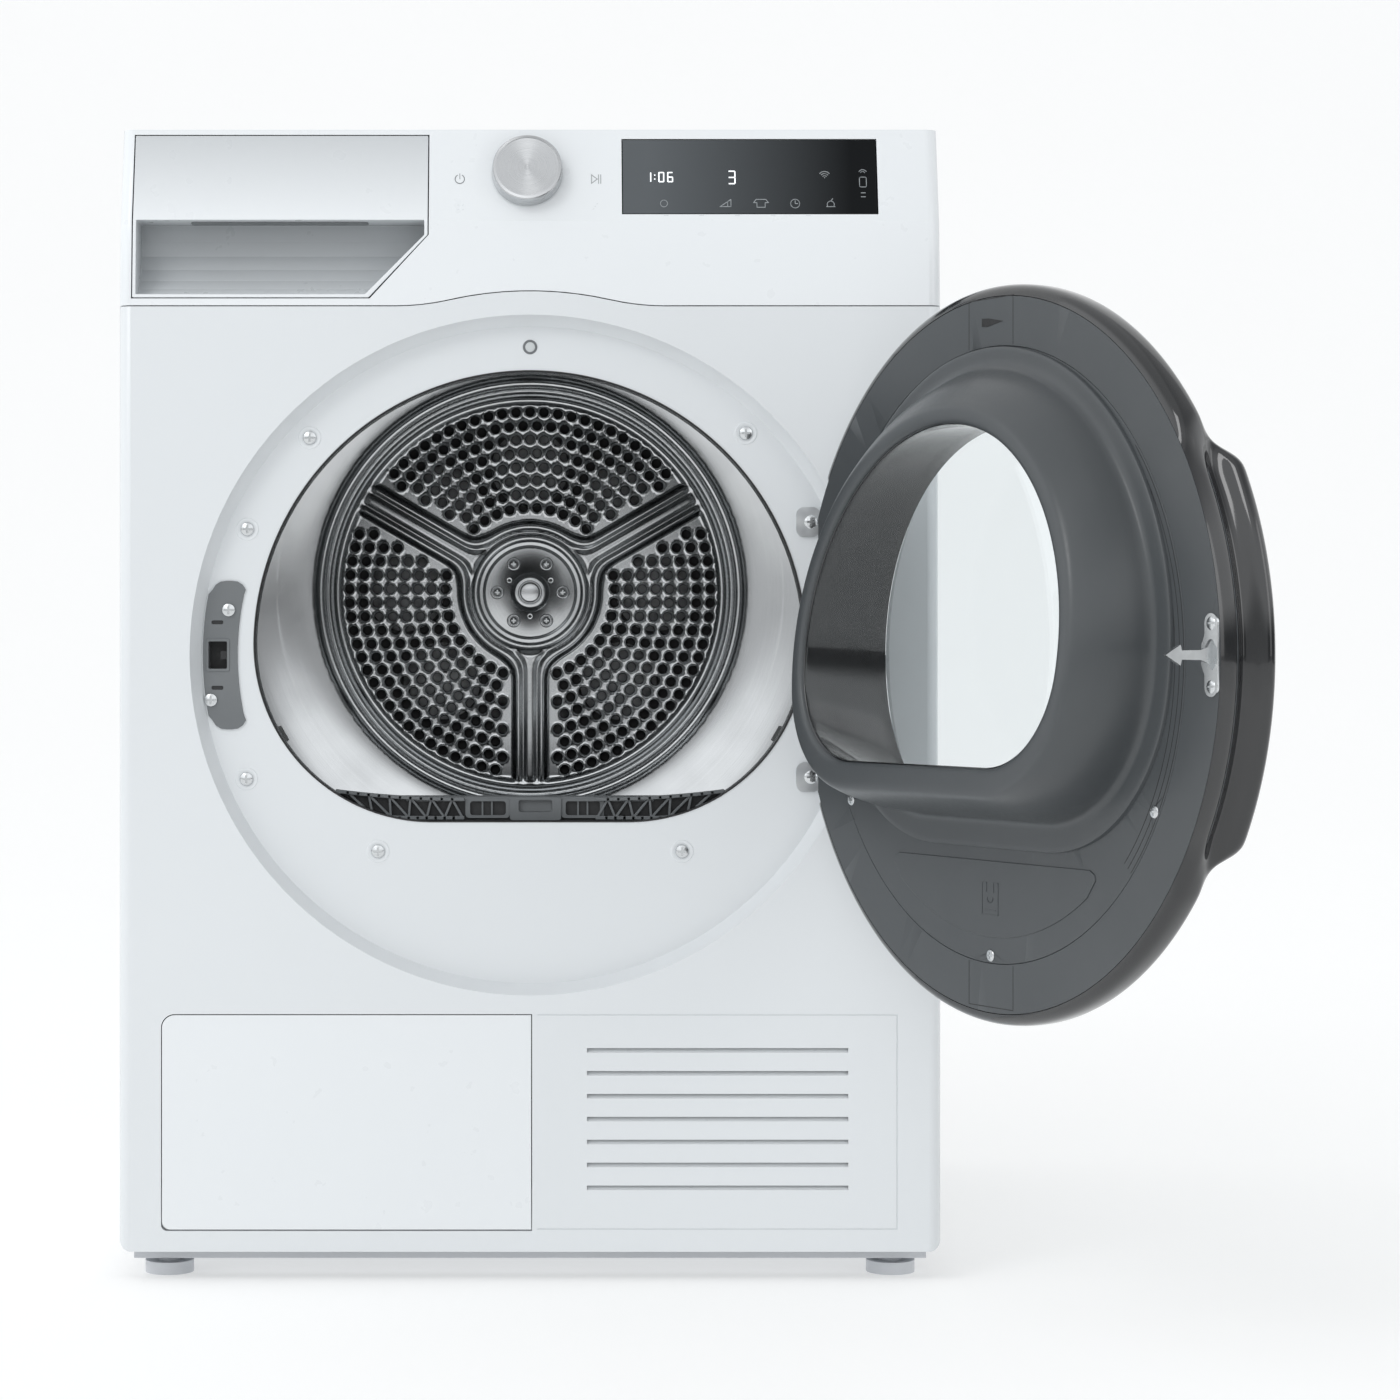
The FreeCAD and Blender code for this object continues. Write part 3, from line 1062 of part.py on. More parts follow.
def drum_back():
    """Pressed end plate with a stiffening groove, spokes between three perforated sectors."""
    end = f"({DRUM_END} - 6)"
    front = f"({end} - steel)"
    owner = revolved("drum_back_plate", "drum_z", [
        (front, "0"), (front, "168"), (f"{front} + 3", "172"), (f"{front} + 3", "178"), (front, "182"),
        (front, "188"), (f"{front} - 13", "drum_band - 21"), (f"{front} - 13", "drum_band - steel - fit"),
        (f"{end} - 13", "drum_band - steel - fit"), (f"{end} - 13", "drum_band - 20"), (end, "189"), (end, "183"), (f"{end} + 3", "179"),
        (f"{end} + 3", "171"), (end, "167"), (end, "0"),
    ])
    spokes = []
    for i in range(3):
        spoke = doc.addObject("Part::Box", f"drum_spoke_{i}")
        angle = 30 + 120 * i
        spoke.Placement = FreeCAD.Placement(Vector(), FreeCAD.Rotation(Vector(0, 1, 0), -angle))
        bind(spoke, "Length", "hole_row - 8")
        bind(spoke, "Width", "3")
        bind(spoke, "Height", "spoke_half")
        shift = "spoke_half / 2"
        bind_base(spoke, f"{shift} * sin({angle})", f"{front} - 3", f"drum_z - {shift} * cos({angle})")
        spokes.append(spoke)
    holes = doc.addObject("Part::Feature", "drum_perforation")
    holes.Shape = perforation()
    return node(cut("drum_back", join("drum_back_solid", owner, *spokes), holes), "drum_back")


def perforation():
    """All the holes of the drum back, in concentric rows that leave the spokes blank."""
    end = -size["depth"] / 2 + size["drum_front"] + size["drum_long"]
    made = []
    for row in range(int(size["hole_rows"])):
        radius = size["hole_row"] - row * size["hole_row_step"]
        count = 3 * round(2 * math.pi * radius / size["hole_pitch"] / 3)
        for i in range(count):
            angle = math.pi / 2 + 2 * math.pi * (i + 0.5 * (row % 2)) / count
            away = min(abs(radius * math.sin(angle - math.radians(30 + 120 * k))) for k in range(3)
                       if math.cos(angle - math.radians(30 + 120 * k)) > 0)
            if away < size["spoke_half"]:
                continue
            centre = Vector(radius * math.cos(angle), end - 16, size["drum_z"] + radius * math.sin(angle))
            made.append(Part.makeCylinder(size["hole_radius"], 20, centre, Vector(0, 1, 0)))
    return Part.makeCompound(made)


def drum_hub():
    front = f"({DRUM_END} - 6 - steel - 3 - fit)"
    plate = revolved("hub_plate", "drum_z", [
        (front, "0"), (front, "8.5"), (f"{front} - 5", "8.5"), (f"{front} - 5", "13.8"), (f"{front} - 1", "16"),
        (f"{front} - 1", "40"), (f"{front} - 4", "44"), (f"{front} - 4", "hub_radius - 3"),
        (f"{front} + fit * 0.9", "hub_radius"), (f"{front} + fit * 0.9", "0"),
    ])
    return node(plate, "drum_hub")


def hub_screws():
    made = []
    for i in range(6):
        x = f"hub_screw_ring * cos({60 * i})"
        z = f"drum_z + hub_screw_ring * sin({60 * i})"
        y = f"({DRUM_END} - 6 - steel - 3 - fit - 1)"
        made.append(rod(f"hub_screw_{i}", "y", "screw_head - 0.8", (x, z), (f"{y} - 2", y)))
    return node(group("hub_screws", *made), "hub_screws")


def drum_shaft():
    """Shaft and its flange on the outside of the drum's end."""
    end = f"({DRUM_END} - 6)"
    flange_ = rod("shaft_flange", "y", "40", ("0", "drum_z"), (end, f"{end} + 4"))
    shaft = rod("shaft_rod", "y", "shaft_radius", ("0", "drum_z"), (end, f"{DRUM_END} + bulkhead_rear + 26"))
    return node(join("drum_shaft", flange_, shaft), "drum_shaft")


def drum_lifters():
    """Three hollow paddles fixed inside the shell."""
    made = []
    for i in range(3):
        angle = 90 + 120 * i
        owner = body(f"drum_lifter_{i}")
        outline = sketch(owner, f"lifter_outline_{i}", "XZ_Plane", f"-({DRUM_START} + 50)")
        outer = "drum_radius - steel - 2"
        loop(outline, [("-lifter_half", f"{outer} - 2"), ("-lifter_half / 2", f"{outer} - lifter_high"),
                       ("lifter_half / 2", f"{outer} - lifter_high"), ("lifter_half", f"{outer} - 2")])
        pad(owner, outline, "drum_long - 110", reverse=True)
        owner.Placement = FreeCAD.Placement(Vector(), FreeCAD.Rotation(Vector(0, 1, 0), angle - 90))
        bind_base(owner, "0", "0", "drum_z")
        made.append(owner)
    return node(group("drum_lifters", *made), "drum_lifters")


def rear_bulkhead():
    """Rear wall behind the drum: air inlet windows and the bearing seat."""
    owner = body("rear_bulkhead")
    start = f"({DRUM_END} + bulkhead_rear)"
    outline = sketch(owner, "rear_bulkhead_outline", "XZ_Plane", f"-{start}")
    rectangle(outline, ("-width / 2 + flange + 2", "width / 2 - flange - 2"), ("base_high + 2", "tank_top - 2"))
    pad(owner, outline, "3", reverse=True)
    seat = sketch(owner, "bearing_seat", "XZ_Plane", f"-{start}")
    circle(seat, "0", "drum_z", "shaft_radius + 20")
    pad(owner, seat, "22", reverse=True)
    bore = sketch(owner, "bearing_bore", "XZ_Plane", f"-({start} - 1)")
    circle(bore, "0", "drum_z", "shaft_radius + 12")
    pocket(owner, bore, "24")
    window = sketch(owner, "air_window", "XZ_Plane", f"-({start} - 1)")
    circle(window, "0", "drum_z + 110", "34")
    first = pocket(owner, window, "6")
    doc.recompute()
    pattern = owner.newObject("PartDesign::PolarPattern", "air_windows")
    pattern.Originals = [first]
    centre = sketch(owner, "pattern_axis", "XZ_Plane", "0", "drum_z")
    pattern.Axis = (centre, ["N_Axis"])
    pattern.Angle = 360
    pattern.Occurrences = 8
    owner.Tip = pattern
    return node(owner, "rear_bulkhead")


def rear_bearing():
    start = f"({DRUM_END} + bulkhead_rear)"
    made = tube("rear_bearing", "y", "shaft_radius + 12", "shaft_radius + running", ("0", "drum_z"),
                (f"{start} + 4", f"{start} + 20"))
    return node(made, "rear_bearing")


def support_roller(label, side):
    made = tube(label, "y", "roller_radius", "axle_radius + running", roller_place(side),
                (f"{DRUM_START} + 4", f"{DRUM_START} + 18"))
    return node(made, label)


# ------------------------------------------------------------------------------------------------
# Drive
# ------------------------------------------------------------------------------------------------
def belt_loop(extra, wide):
    """Solid that fills a belt's run round drum and motor pulley, grown by extra."""
    drum = (Vector(0, 0, size["drum_z"]), size["drum_radius"] + extra)
    pulley = (Vector(size["motor_x"], 0, size["motor_z"]), size["pulley_radius"] + extra)
    line = pulley[0] - drum[0]
    open_angle = math.acos((drum[1] - pulley[1]) / line.Length)
    heading = math.atan2(line.z, line.x)
    corners = []
    for turn in (heading - open_angle, heading + open_angle):
        out = Vector(math.cos(turn), 0, math.sin(turn))
        corners.append((drum[0] + out * drum[1], pulley[0] + out * pulley[1]))
    (a_drum, a_pulley), (b_drum, b_pulley) = corners
    far = drum[0] - line.normalize() * drum[1]
    near = pulley[0] + line * pulley[1]
    outline = Part.Wire([
        Part.Arc(a_drum, far, b_drum).toShape(), Part.LineSegment(b_drum, b_pulley).toShape(),
        Part.Arc(b_pulley, near, a_pulley).toShape(), Part.LineSegment(a_pulley, a_drum).toShape(),
    ])
    solid = Part.Face(outline).extrude(Vector(0, wide, 0))
    solid.translate(Vector(0, -wide / 2, 0))
    return solid


def drive_belt():
    """Flat belt round the drum and the motor pulley."""
    inside = size["fit"]
    made = doc.addObject("Part::Feature", "drive_belt")
    made.Shape = belt_loop(inside + size["belt_thick"], size["belt_wide"]).cut(belt_loop(inside, size["belt_wide"] + 2))
    return node(made, "drive_belt")


def idler_centre():
    """Centre of the idler, below the belt's left run."""
    drum = Vector(0, 0, size["drum_z"])
    pulley = Vector(size["motor_x"], 0, size["motor_z"])
    line = pulley - drum
    reach = size["fit"] + size["belt_thick"]
    open_angle = math.acos((size["drum_radius"] - size["pulley_radius"]) / line.Length)
    turn = math.atan2(line.z, line.x) - open_angle
    out = Vector(math.cos(turn), 0, math.sin(turn))
    along = Vector(-out.z, 0, out.x)
    start = drum + out * (size["drum_radius"] + reach)
    run = (size["idler_x"] - start.x) / along.x
    return start + along * run + out * (size["idler_radius"] + size["fit"])


def idler_pulley():
    centre = idler_centre()
    made = tube("idler_pulley", "y", "idler_radius", "axle_radius - 1 + running", (centre.x, centre.z),
                ("-belt_wide / 2 - 2", "belt_wide / 2 + 2"))
    return node(made, "idler_pulley")


def tension_arm():
    """Arm from the motor's foot that carries the idler's axle."""
    centre = idler_centre()
    half, foot_half, thick = 8, 12, 3
    y = ("belt_wide / 2 + 2.5", f"belt_wide / 2 + 2.5 + {thick}")
    axle = rod("idler_axle", "y", "axle_radius - 1", (centre.x, centre.z), ("-belt_wide / 2 - 3", y[1]))
    plate = box("tension_plate", (centre.x - half, centre.x + half), y, ("tray_floor", centre.z + half))
    foot = box("tension_foot", (centre.x - foot_half, centre.x + foot_half), (y[0], "motor_front"),
               ("tray_floor", "tray_floor + 4"))
    return node(join("tension_arm", axle, plate, foot), "tension_arm")


def motor_housing():
    """Tube with two end plates that carry the shaft, on a foot."""
    centre = ("motor_x", "motor_z")
    case = tube("motor_case", "y", "motor_radius", "motor_radius - motor_wall", centre, ("motor_front", "motor_back"))
    foot = box("motor_foot", ("motor_x - motor_radius + 12", "motor_x + motor_radius - 12"),
               ("motor_front + 10", "motor_back - 10"), ("tray_floor", "motor_z - motor_radius + 8"))
    ends = (("motor_front", "motor_front + motor_end"), ("motor_back - motor_end", "motor_back"))
    bearings = [tube(f"motor_bearing_{i}", "y", "motor_radius - motor_wall + 1", "motor_shaft + running", centre, span)
                for i, span in enumerate(ends)]
    return node(join("motor_housing", case, foot, *bearings), "motor_housing")


def motor_rotor():
    """Shaft through motor and fan, with the belt's pulley in front."""
    centre = ("motor_x", "motor_z")
    shaft = rod("rotor_shaft", "y", "motor_shaft", centre, ("-belt_wide / 2 - 7.5", "fan_front + fan_long + 2"))
    pulley = rod("rotor_pulley", "y", "pulley_radius", centre, ("-belt_wide / 2 - 3.5", "belt_wide / 2 + 3.5"))
    return node(join("motor_shaft", shaft, pulley), "motor_shaft")


def fan_wheel():
    """Blower wheel: back plate, boss and blades."""
    centre = ("motor_x", "motor_z")
    back = "fan_front + fan_long"
    plate = rod("fan_plate", "y", "fan_radius", centre, (f"{back} - 2", back))
    boss = rod("fan_boss", "y", "motor_shaft + 6", centre, ("fan_front", back))
    bore = rod("fan_bore", "y", "motor_shaft + running", centre, ("fan_front - 5", f"{back} + 5"))
    count = 12
    blades = []
    for i in range(count):
        angle = 360 / count * i
        blade = doc.addObject("Part::Box", f"fan_blade_{i}")
        blade.Placement = FreeCAD.Placement(Vector(), FreeCAD.Rotation(Vector(0, 1, 0), angle))
        bind(blade, "Length", "fan_radius - motor_shaft - 6")
        bind(blade, "Width", "fan_long - 2")
        bind(blade, "Height", "2")
        reach = "(motor_shaft + 5)"
        bind_base(blade, f"motor_x + {reach} * cos({angle})", "fan_front + 1", f"motor_z - {reach} * sin({angle})")
        blades.append(blade)
    return node(cut("fan_wheel", join("fan_solid", plate, boss, *blades), bore), "fan_wheel")


def blower_housing():
    """Drum-shaped housing round the fan, open in front."""
    centre = ("motor_x", "motor_z")
    front, back = "fan_front - fan_gap", "fan_front + fan_long + fan_gap + 2"
    shell = rod("blower_shell", "y", "fan_radius + 2 * fan_gap", centre, (front, back))
    space = rod("blower_space", "y", "fan_radius + fan_gap", centre, (f"{front} + blower_wall", f"{back} - blower_wall"))
    eye = rod("blower_eye", "y", "fan_radius * 0.6", centre, (f"{front} - 5", f"{front} + blower_wall + 1"))
    foot = box("blower_foot", ("motor_x - 30", "motor_x + 30"), (front, back),
               ("tray_floor", "motor_z - fan_radius - fan_gap - 2"))
    return node(cut("blower_housing", join("blower_solid", shell, foot), space, eye), "blower_housing")


# ------------------------------------------------------------------------------------------------
# Heat pump and water
# ------------------------------------------------------------------------------------------------
def exchanger(label, front, back):
    """Finned block: fins on a pair of end plates, drawn as one block with rows of slots."""
    block = box(f"{label}_block", ("-block_left", "-block_right"), (front, back), ("tray_floor", "block_top"))
    slots = []
    for i in range(int((size["block_left"] - size["block_right"]) / size["fin_pitch"])):
        left = f"-block_left + fin_edge - 1 + {i} * fin_pitch"
        slots.append(box(f"{label}_slot_{i}", (left, f"{left} + fin_slot"), (f"{front} - 1", f"{back} + 1"),
                         ("tray_floor + fin_edge", "block_top - fin_edge")))
    return node(cut(label, block, *slots), label)


def exchanger_cover():
    """Cover that the service flap hides, with two turned locks moulded on."""
    front = f"{FRONT} + base_setback + base_wall + 1"
    y = (front, f"{front} + 6")
    plate = box("exchanger_cover_plate", ("-block_left + 4", "-block_right - 2"), y, ("base_high + 2", "block_top + 2"))
    places = (("-block_left + 24", "block_top - 58"), ("-block_right - 22", "block_top - 58"))
    locks = [rod(f"exchanger_lock_{i}", "y", "lock_radius", place, (f"{front} - 8", front))
             for i, place in enumerate(places)]
    return node(join("exchanger_cover", plate, *locks), "exchanger_cover")


def compressor():
    """Can on a foot, with two pipe ends on top."""
    can = rod("compressor_can", "z", "can_radius", ("-can_x", "can_y"), ("tray_floor + can_foot", "can_top"))
    foot = box("compressor_foot", ("-can_x - can_radius - 14", "-can_x + can_radius + 14"),
               ("can_y - can_radius - 14", "can_y + can_radius + 14"), ("tray_floor", "tray_floor + can_foot"))
    pipes = [rod(f"compressor_pipe_{i}", "z", "5", (f"-can_x + {side} * can_radius / 2", "can_y"), ("can_top - 5", "can_top + 13"))
             for i, side in enumerate((-1, 1))]
    return node(join("compressor", can, foot, *pipes), "compressor")


def condensate_pump():
    """Square case with a round head that feeds the hose."""
    case = box("pump_case", ("-pump_x - 30", "-pump_x + 30"), ("pump_y - pump_half", "pump_y + pump_half"),
               ("tray_floor", "pump_top"))
    head = rod("condensate_head", "z", "pump_head", ("-pump_x", "pump_y"), ("pump_top", "pump_top + 22"))
    return node(join("condensate_pump", case, head), "condensate_pump")


def drain_hose():
    """Hose from the pump, along the back and up to the tank guide: straight runs and tangent bends."""
    bend = size["hose_bend"]
    x = -size["width"] / 2 + 40
    y = size["depth"] / 2 - size["rear_inset"] - 18
    start = Vector(-size["pump_x"], size["pump_y"], size["pump_top"] + 22)
    rise = start + Vector(0, 0, 2 * bend)
    route = [start, rise, Vector(x, y, rise.z), Vector(x, y, size["drawer_low"] + 42)]
    edges = []
    here = route[0]
    for corner, after in zip(route[1:-1], route[2:]):
        before_way = (corner - here).normalize()
        after_way = (after - corner).normalize()
        turn = before_way.getAngle(after_way)
        trim = bend * math.tan(turn / 2)
        start = corner - before_way * trim
        end = corner + after_way * trim
        centre_way = (after_way - before_way).normalize()
        middle = corner + centre_way * (bend / math.cos(turn / 2) - bend)
        edges.append(Part.LineSegment(here, start).toShape())
        edges.append(Part.Arc(start, middle, end).toShape())
        here = end
    edges.append(Part.LineSegment(here, route[-1]).toShape())
    path = Part.Wire(edges)
    first = (route[1] - route[0]).normalize()
    section = Part.Wire([Part.makeCircle(size["hose_radius"], route[0], first)])
    made = doc.addObject("Part::Feature", "drain_hose")
    made.Shape = path.makePipeShell([section], True, True)
    return node(made, "drain_hose")


def tank_section(shrink):
    """Cross-section of the tank, which clears the drum below it."""
    left, right = "-drawer_left + 4", "-drawer_right - 8"
    low, shoulder, rise = "drawer_low + 4", "drawer_low + 38", "drawer_low + 88"
    return [
        (f"{left} + {shrink}", f"{low} + {shrink}"), (f"-drawer_left + 51 - 0.4 * {shrink}", f"{low} + {shrink}"),
        (f"-drawer_left + 101 - 0.4 * {shrink}", f"{shoulder} + {shrink}"), (f"{right} - {shrink}", f"{rise} + {shrink}"),
        (f"{right} - {shrink}", "tank_top"), (f"{left} + {shrink}", "tank_top"),
    ]


def water_tank():
    owner = prism("water_tank", "XZ_Plane", from_front("drawer_depth"), "tank_long", tank_section("0"))
    inside = sketch(owner, "tank_inside", "XZ_Plane", from_front("drawer_depth + tank_wall"))
    loop(inside, tank_section("tank_wall"))
    pocket(owner, inside, "tank_long - 2 * tank_wall")
    return node(owner, "water_tank")


def tank_lid():
    y = (f"{FRONT} + drawer_depth", f"{FRONT} + drawer_depth + tank_long")
    plate = box("tank_lid_plate", ("-drawer_left + 4", "-drawer_right - 8"), y, ("tank_top", "tank_top + tank_wall"))
    cap = rod("tank_lid_cap", "z", "16", ("-drawer_left + 111", f"{y[0]} + 40"), ("tank_top + tank_wall", "tank_top + 4"))
    return node(join("tank_lid", plate, cap), "tank_lid")


def tank_guide():
    """Tray that the tank slides in."""
    inner = [("-drawer_left + 2", "tank_top"), ("-drawer_left + 2", "drawer_low + 2.6"),
             ("-drawer_left + 52", "drawer_low + 2.6"), ("-drawer_left + 101.6", "drawer_low + 36.6")]
    outer = [("-drawer_left + 104", "drawer_low + 35.6"), ("-drawer_left + 53", "drawer_low + 0.2"),
             ("-drawer_left - 0.4", "drawer_low + 0.2"), ("-drawer_left - 0.4", "tank_top")]
    owner = prism("tank_guide", "XZ_Plane", from_front("drawer_depth + 6"), "tank_long + 11", inner + outer)
    return node(owner, "tank_guide")


def drain_spigot():
    centre = ("spigot_x", "spigot_z")
    pipe = rod("spigot_pipe", "y", "spigot_radius", centre, (f"{REAR} - 20", f"{REAR} + 12"))
    bore = rod("spigot_bore", "y", "spigot_radius - 2.5", centre, (f"{REAR} - 12", f"{REAR} + 13"))
    collar = rod("spigot_collar", "y", "spigot_radius + 6", centre, (f"{REAR} - 4 - 2 * steel", f"{REAR} - steel"))
    return node(cut("drain_spigot", join("spigot_solid", pipe, collar), bore), "drain_spigot")


def mains_inlet():
    """Cord gland in the rear panel."""
    centre = ("inlet_x", "inlet_z")
    outer = rod("inlet_nut", "y", "inlet_radius", centre, (REAR, f"{REAR} + 10"))
    neck = rod("inlet_neck", "y", "inlet_radius - 3", centre, (f"{REAR} - 16", REAR))
    bore = rod("inlet_hole", "y", "inlet_bore", centre, (f"{REAR} - 17", f"{REAR} + 11"))
    return node(cut("mains_inlet", join("inlet_solid", outer, neck), bore), "mains_inlet")


# ------------------------------------------------------------------------------------------------
# Door, drawn shut
# ------------------------------------------------------------------------------------------------
def door_depth(distance):
    """Offset of a sketch on the XZ plane; distance is from the door's inner face into the machine."""
    return f"-({FACE} + ({distance}))"


def door_frame():
    """Matte ring of the door's inner face, cut away beside the hinges."""
    owner = revolved("door_frame", "ring_z", [
        (FACE, "frame_inner"), (FACE, "frame_radius"), (f"{FACE} - frame_thick", "frame_radius"),
        (f"{FACE} - frame_thick", "frame_inner"),
    ])
    space = sketch(owner, "frame_space", "YZ_Plane", "0", "ring_z")
    loop(space, [
        (f"{FACE} - frame_thick - 1", "frame_inner + plastic"), (f"{FACE} - plastic", "frame_inner + plastic"),
        (f"{FACE} - plastic", "frame_radius - plastic"), (f"{FACE} - frame_thick - 1", "frame_radius - plastic"),
    ])
    spin(owner, space, "Groove")
    notch = sketch(owner, "frame_notch", "XZ_Plane", door_depth("1"))
    rectangle(notch, ("notch_x", "door_radius + 1"), ("ring_z - notch_below", "ring_z + notch_above"))
    for i, z in enumerate(STRIKE_SCREWS):
        circle(notch, "-latch_x", z, "screw_radius + running", f"strike{i}")
    pocket(owner, notch, "frame_thick + 2", reverse=True)
    slots = sketch(owner, "frame_arm_slots", "XZ_Plane", door_depth("-plastic + fit"))
    for i, z in enumerate(HINGE_LEVELS):
        rectangle(slots, ("hinge_x - 23", "hinge_x + 8"), (f"{z}", f"{z} + 2 * hinge_plate + 2"), f"arm{i}")
    pocket(owner, slots, "frame_thick", reverse=True)
    return node(open_door(owner), "door_frame")


STRIKE_SCREWS = ("ring_z - strike_half + 6", "ring_z + strike_half - 6")
STRIKE_SEAT = f"({FACE} + 0.8)"
COVER_SCREWS = [polar("198", angle) for angle in (-90, -31, -151)]


def door_inner_cover():
    """Disc inside the frame ring, open for the bowl."""
    owner = body("door_inner_cover")
    disc = sketch(owner, "cover_disc", "XZ_Plane", door_depth("0"))
    circle(disc, "0", "ring_z", "frame_inner - fit")
    pad(owner, disc, "plastic")
    hole = sketch(owner, "cover_hole", "XZ_Plane", door_depth("1"))
    for i, (x, z) in enumerate(COVER_SCREWS):
        circle(hole, x, z, "screw_radius + running", f"screw{i}")
    pocket(owner, hole, "plastic + 2", reverse=True)
    mouth = sketch(owner, "cover_mouth", "XZ_Plane", door_depth("1"), "ring_z")
    bowl_dee(mouth, -46, -6, -6.7, -23)
    pocket(owner, mouth, "plastic + 2", reverse=True)
    return node(open_door(owner), "door_inner_cover")


def bowl_dee(made, radius, rise, flat, corner):
    """A D of the door bowl, as differences from the loading opening's D."""
    dee(
        made,
        (f"dee_radius + {radius}", size["dee_radius"] + radius),
        (f"dee_rise + {rise}", size["dee_rise"] + rise),
        (f"dee_flat + {flat}", size["dee_flat"] + flat),
        (f"dee_corner + {corner}", size["dee_corner"] + corner),
    )


def dee_loft(name, sections):
    """A loft through D sections: their differences from the opening's D, their depth and their share of the tilt."""
    owner = body(name)
    outlines = []
    for i, (radius, rise, flat, corner, deep, share) in enumerate(sections):
        made = sketch(owner, f"{name}_section_{i}", "XZ_Plane", door_depth(deep), "ring_z")
        if share:
            tilt = size["bowl_tilt"] * share
            made.AttachmentOffset = FreeCAD.Placement(Vector(), FreeCAD.Rotation(Vector(1, 0, 0), tilt))
            bind(made, "AttachmentOffset.Base.z", door_depth(deep))
            bind(made, "AttachmentOffset.Base.y", "ring_z")
            bind(made, "AttachmentOffset.Rotation.Angle", f"bowl_tilt * {share}")
        bowl_dee(made, radius, rise, flat, corner)
        outlines.append(made)
    made = owner.newObject("PartDesign::AdditiveLoft", f"{name}_loft")
    made.Profile = outlines[0]
    made.Sections = outlines[1:]
    return owner


def door_bowl():
    """Deep D-shaped plug: flange, flared outside, dark tunnel to the window, hollow between."""
    outside = dee_loft("bowl_outside", [(-25, 6, -14.2, -21, "0", 0), (-32, 3, -20.2, -39, "30", 0.5),
                                        (-44, -2, -33.7, -53, "bowl_lip", 1)])
    hollow_ = dee_loft("bowl_hollow", [(-28.5, 6, -17.7, -24.5, "-1", 0), (-36, 3, -24.2, -43, "29", 0.5),
                                       (-46, -2, -35.7, -55, "bowl_lip - 3.2", 1)])
    sleeve = dee_loft("bowl_sleeve", [(-48.5, -6, -1.7, -19, "-window_back", 0), (-53.4, -2, -48.7, -60, "bowl_lip + 1", 1)])
    tunnel = dee_loft("bowl_tunnel", [(-51, -6, -4.2, -22, "-window_back - 0.5", 0),
                                      (-56, -2, -51.2, -62.5, "bowl_lip + 2", 1)])
    flange_ = body("bowl_flange")
    outline = sketch(flange_, "flange_outline", "XZ_Plane", door_depth("0.05"), "ring_z")
    bowl_dee(outline, -11, 5, 4.3, -6)
    pad(flange_, outline, "3.4", reverse=True)
    flare = cut("bowl_flare", join("bowl_flared", outside, flange_), cut("bowl_space", hollow_, sleeve))
    skirt_limit = box("bowl_skirt_limit", ("-door_radius", "door_radius"), (f"{FACE} - window_back", f"{FACE} + 2"),
                      ("ring_z - door_radius", "ring_z + door_radius"))
    skirt = common("bowl_skirt", sleeve, skirt_limit)
    return node(open_door(cut("door_bowl", join("bowl_solid", flare, skirt), tunnel)), "door_bowl")


def door_window():
    y = (f"{FACE} - window_back - window_thick - fit", f"{FACE} - window_back - fit")
    glass = rod("window_disc", "y", "window_radius + 2", ("0", "ring_z"), y)
    return node(open_door(group("door_window", glass)), "door_window")


def door_outer_trim():
    """Domed outer ring with a rolled grip lip on the side away from the hinge."""
    wall = "trim_wall"
    back = [
        (FACE, "frame_radius + fit"), (f"{FACE} - 0.6", "frame_radius + 3"), (f"{FACE} - 2.6", "door_radius - 2.2"),
        (f"{FACE} - 6.5", "door_radius"), (f"{FACE} - frame_thick", "door_radius"), (f"{FACE} - 17", "door_radius - 3"),
        (f"{FACE} - 24", "door_radius - 12"), (f"{FACE} - 32", "door_radius - 22"),
        (f"{FACE} - 38", "door_radius - 33"), (f"{FACE} - trim_crest", "trim_crest_radius"),
        (f"{FACE} - 36", "trim_crest_radius - 20"), (f"{FACE} - window_back - window_thick", "window_radius + 3.5"),
    ]
    inside = [
        (f"{FACE} - window_back - window_thick + {wall}", "window_radius + 3.5 + 1"),
        (f"{FACE} - 36 + {wall}", "trim_crest_radius - 18"), (f"{FACE} - trim_crest + {wall}", "trim_crest_radius"),
        (f"{FACE} - 38 + {wall}", "door_radius - 34"), (f"{FACE} - 30", "door_radius - 25"),
        (f"{FACE} - 22", "door_radius - 15"), (f"{FACE} - frame_thick - fit - 1", "frame_radius + fit"),
    ]
    owner = revolved("trim_ring", "ring_z", back + inside)
    lip = sketch(owner, "grip_lip", "XY_Plane", "ring_z")
    loop(lip, [
        ("-door_radius", f"{FACE} - grip_lip_near"), ("-door_radius", f"{FACE} - grip_lip_far"),
        ("-door_radius + 14", f"{FACE} - trim_crest + 2"), ("-trim_crest_radius - 8", f"{FACE} - trim_crest + 0.4"),
        ("-trim_crest_radius - 8", f"{FACE} - trim_crest + 2.5"), ("-door_radius + 14", f"{FACE} - grip_lip_near + 2"),
    ])
    spin(owner, lip, axis="V_Axis", angle="grip_angle", midplane=True)
    notches = [box("trim_frame_notch", ("notch_x", "door_radius + 1"), (f"{FACE} - frame_thick - fit", f"{FACE} + 1"),
                   ("ring_z - notch_below", "ring_z + notch_above"))]
    for i, z in enumerate(HINGE_LEVELS):
        notches.append(box(f"trim_notch_{i}", ("hinge_x - 20", "door_radius + 1"), (f"{FACE} - trim_crest - 1", FACE),
                           (f"{z} - 8", f"{z} + 14")))
    return node(open_door(cut("door_outer_trim", owner, *notches)), "door_outer_trim")


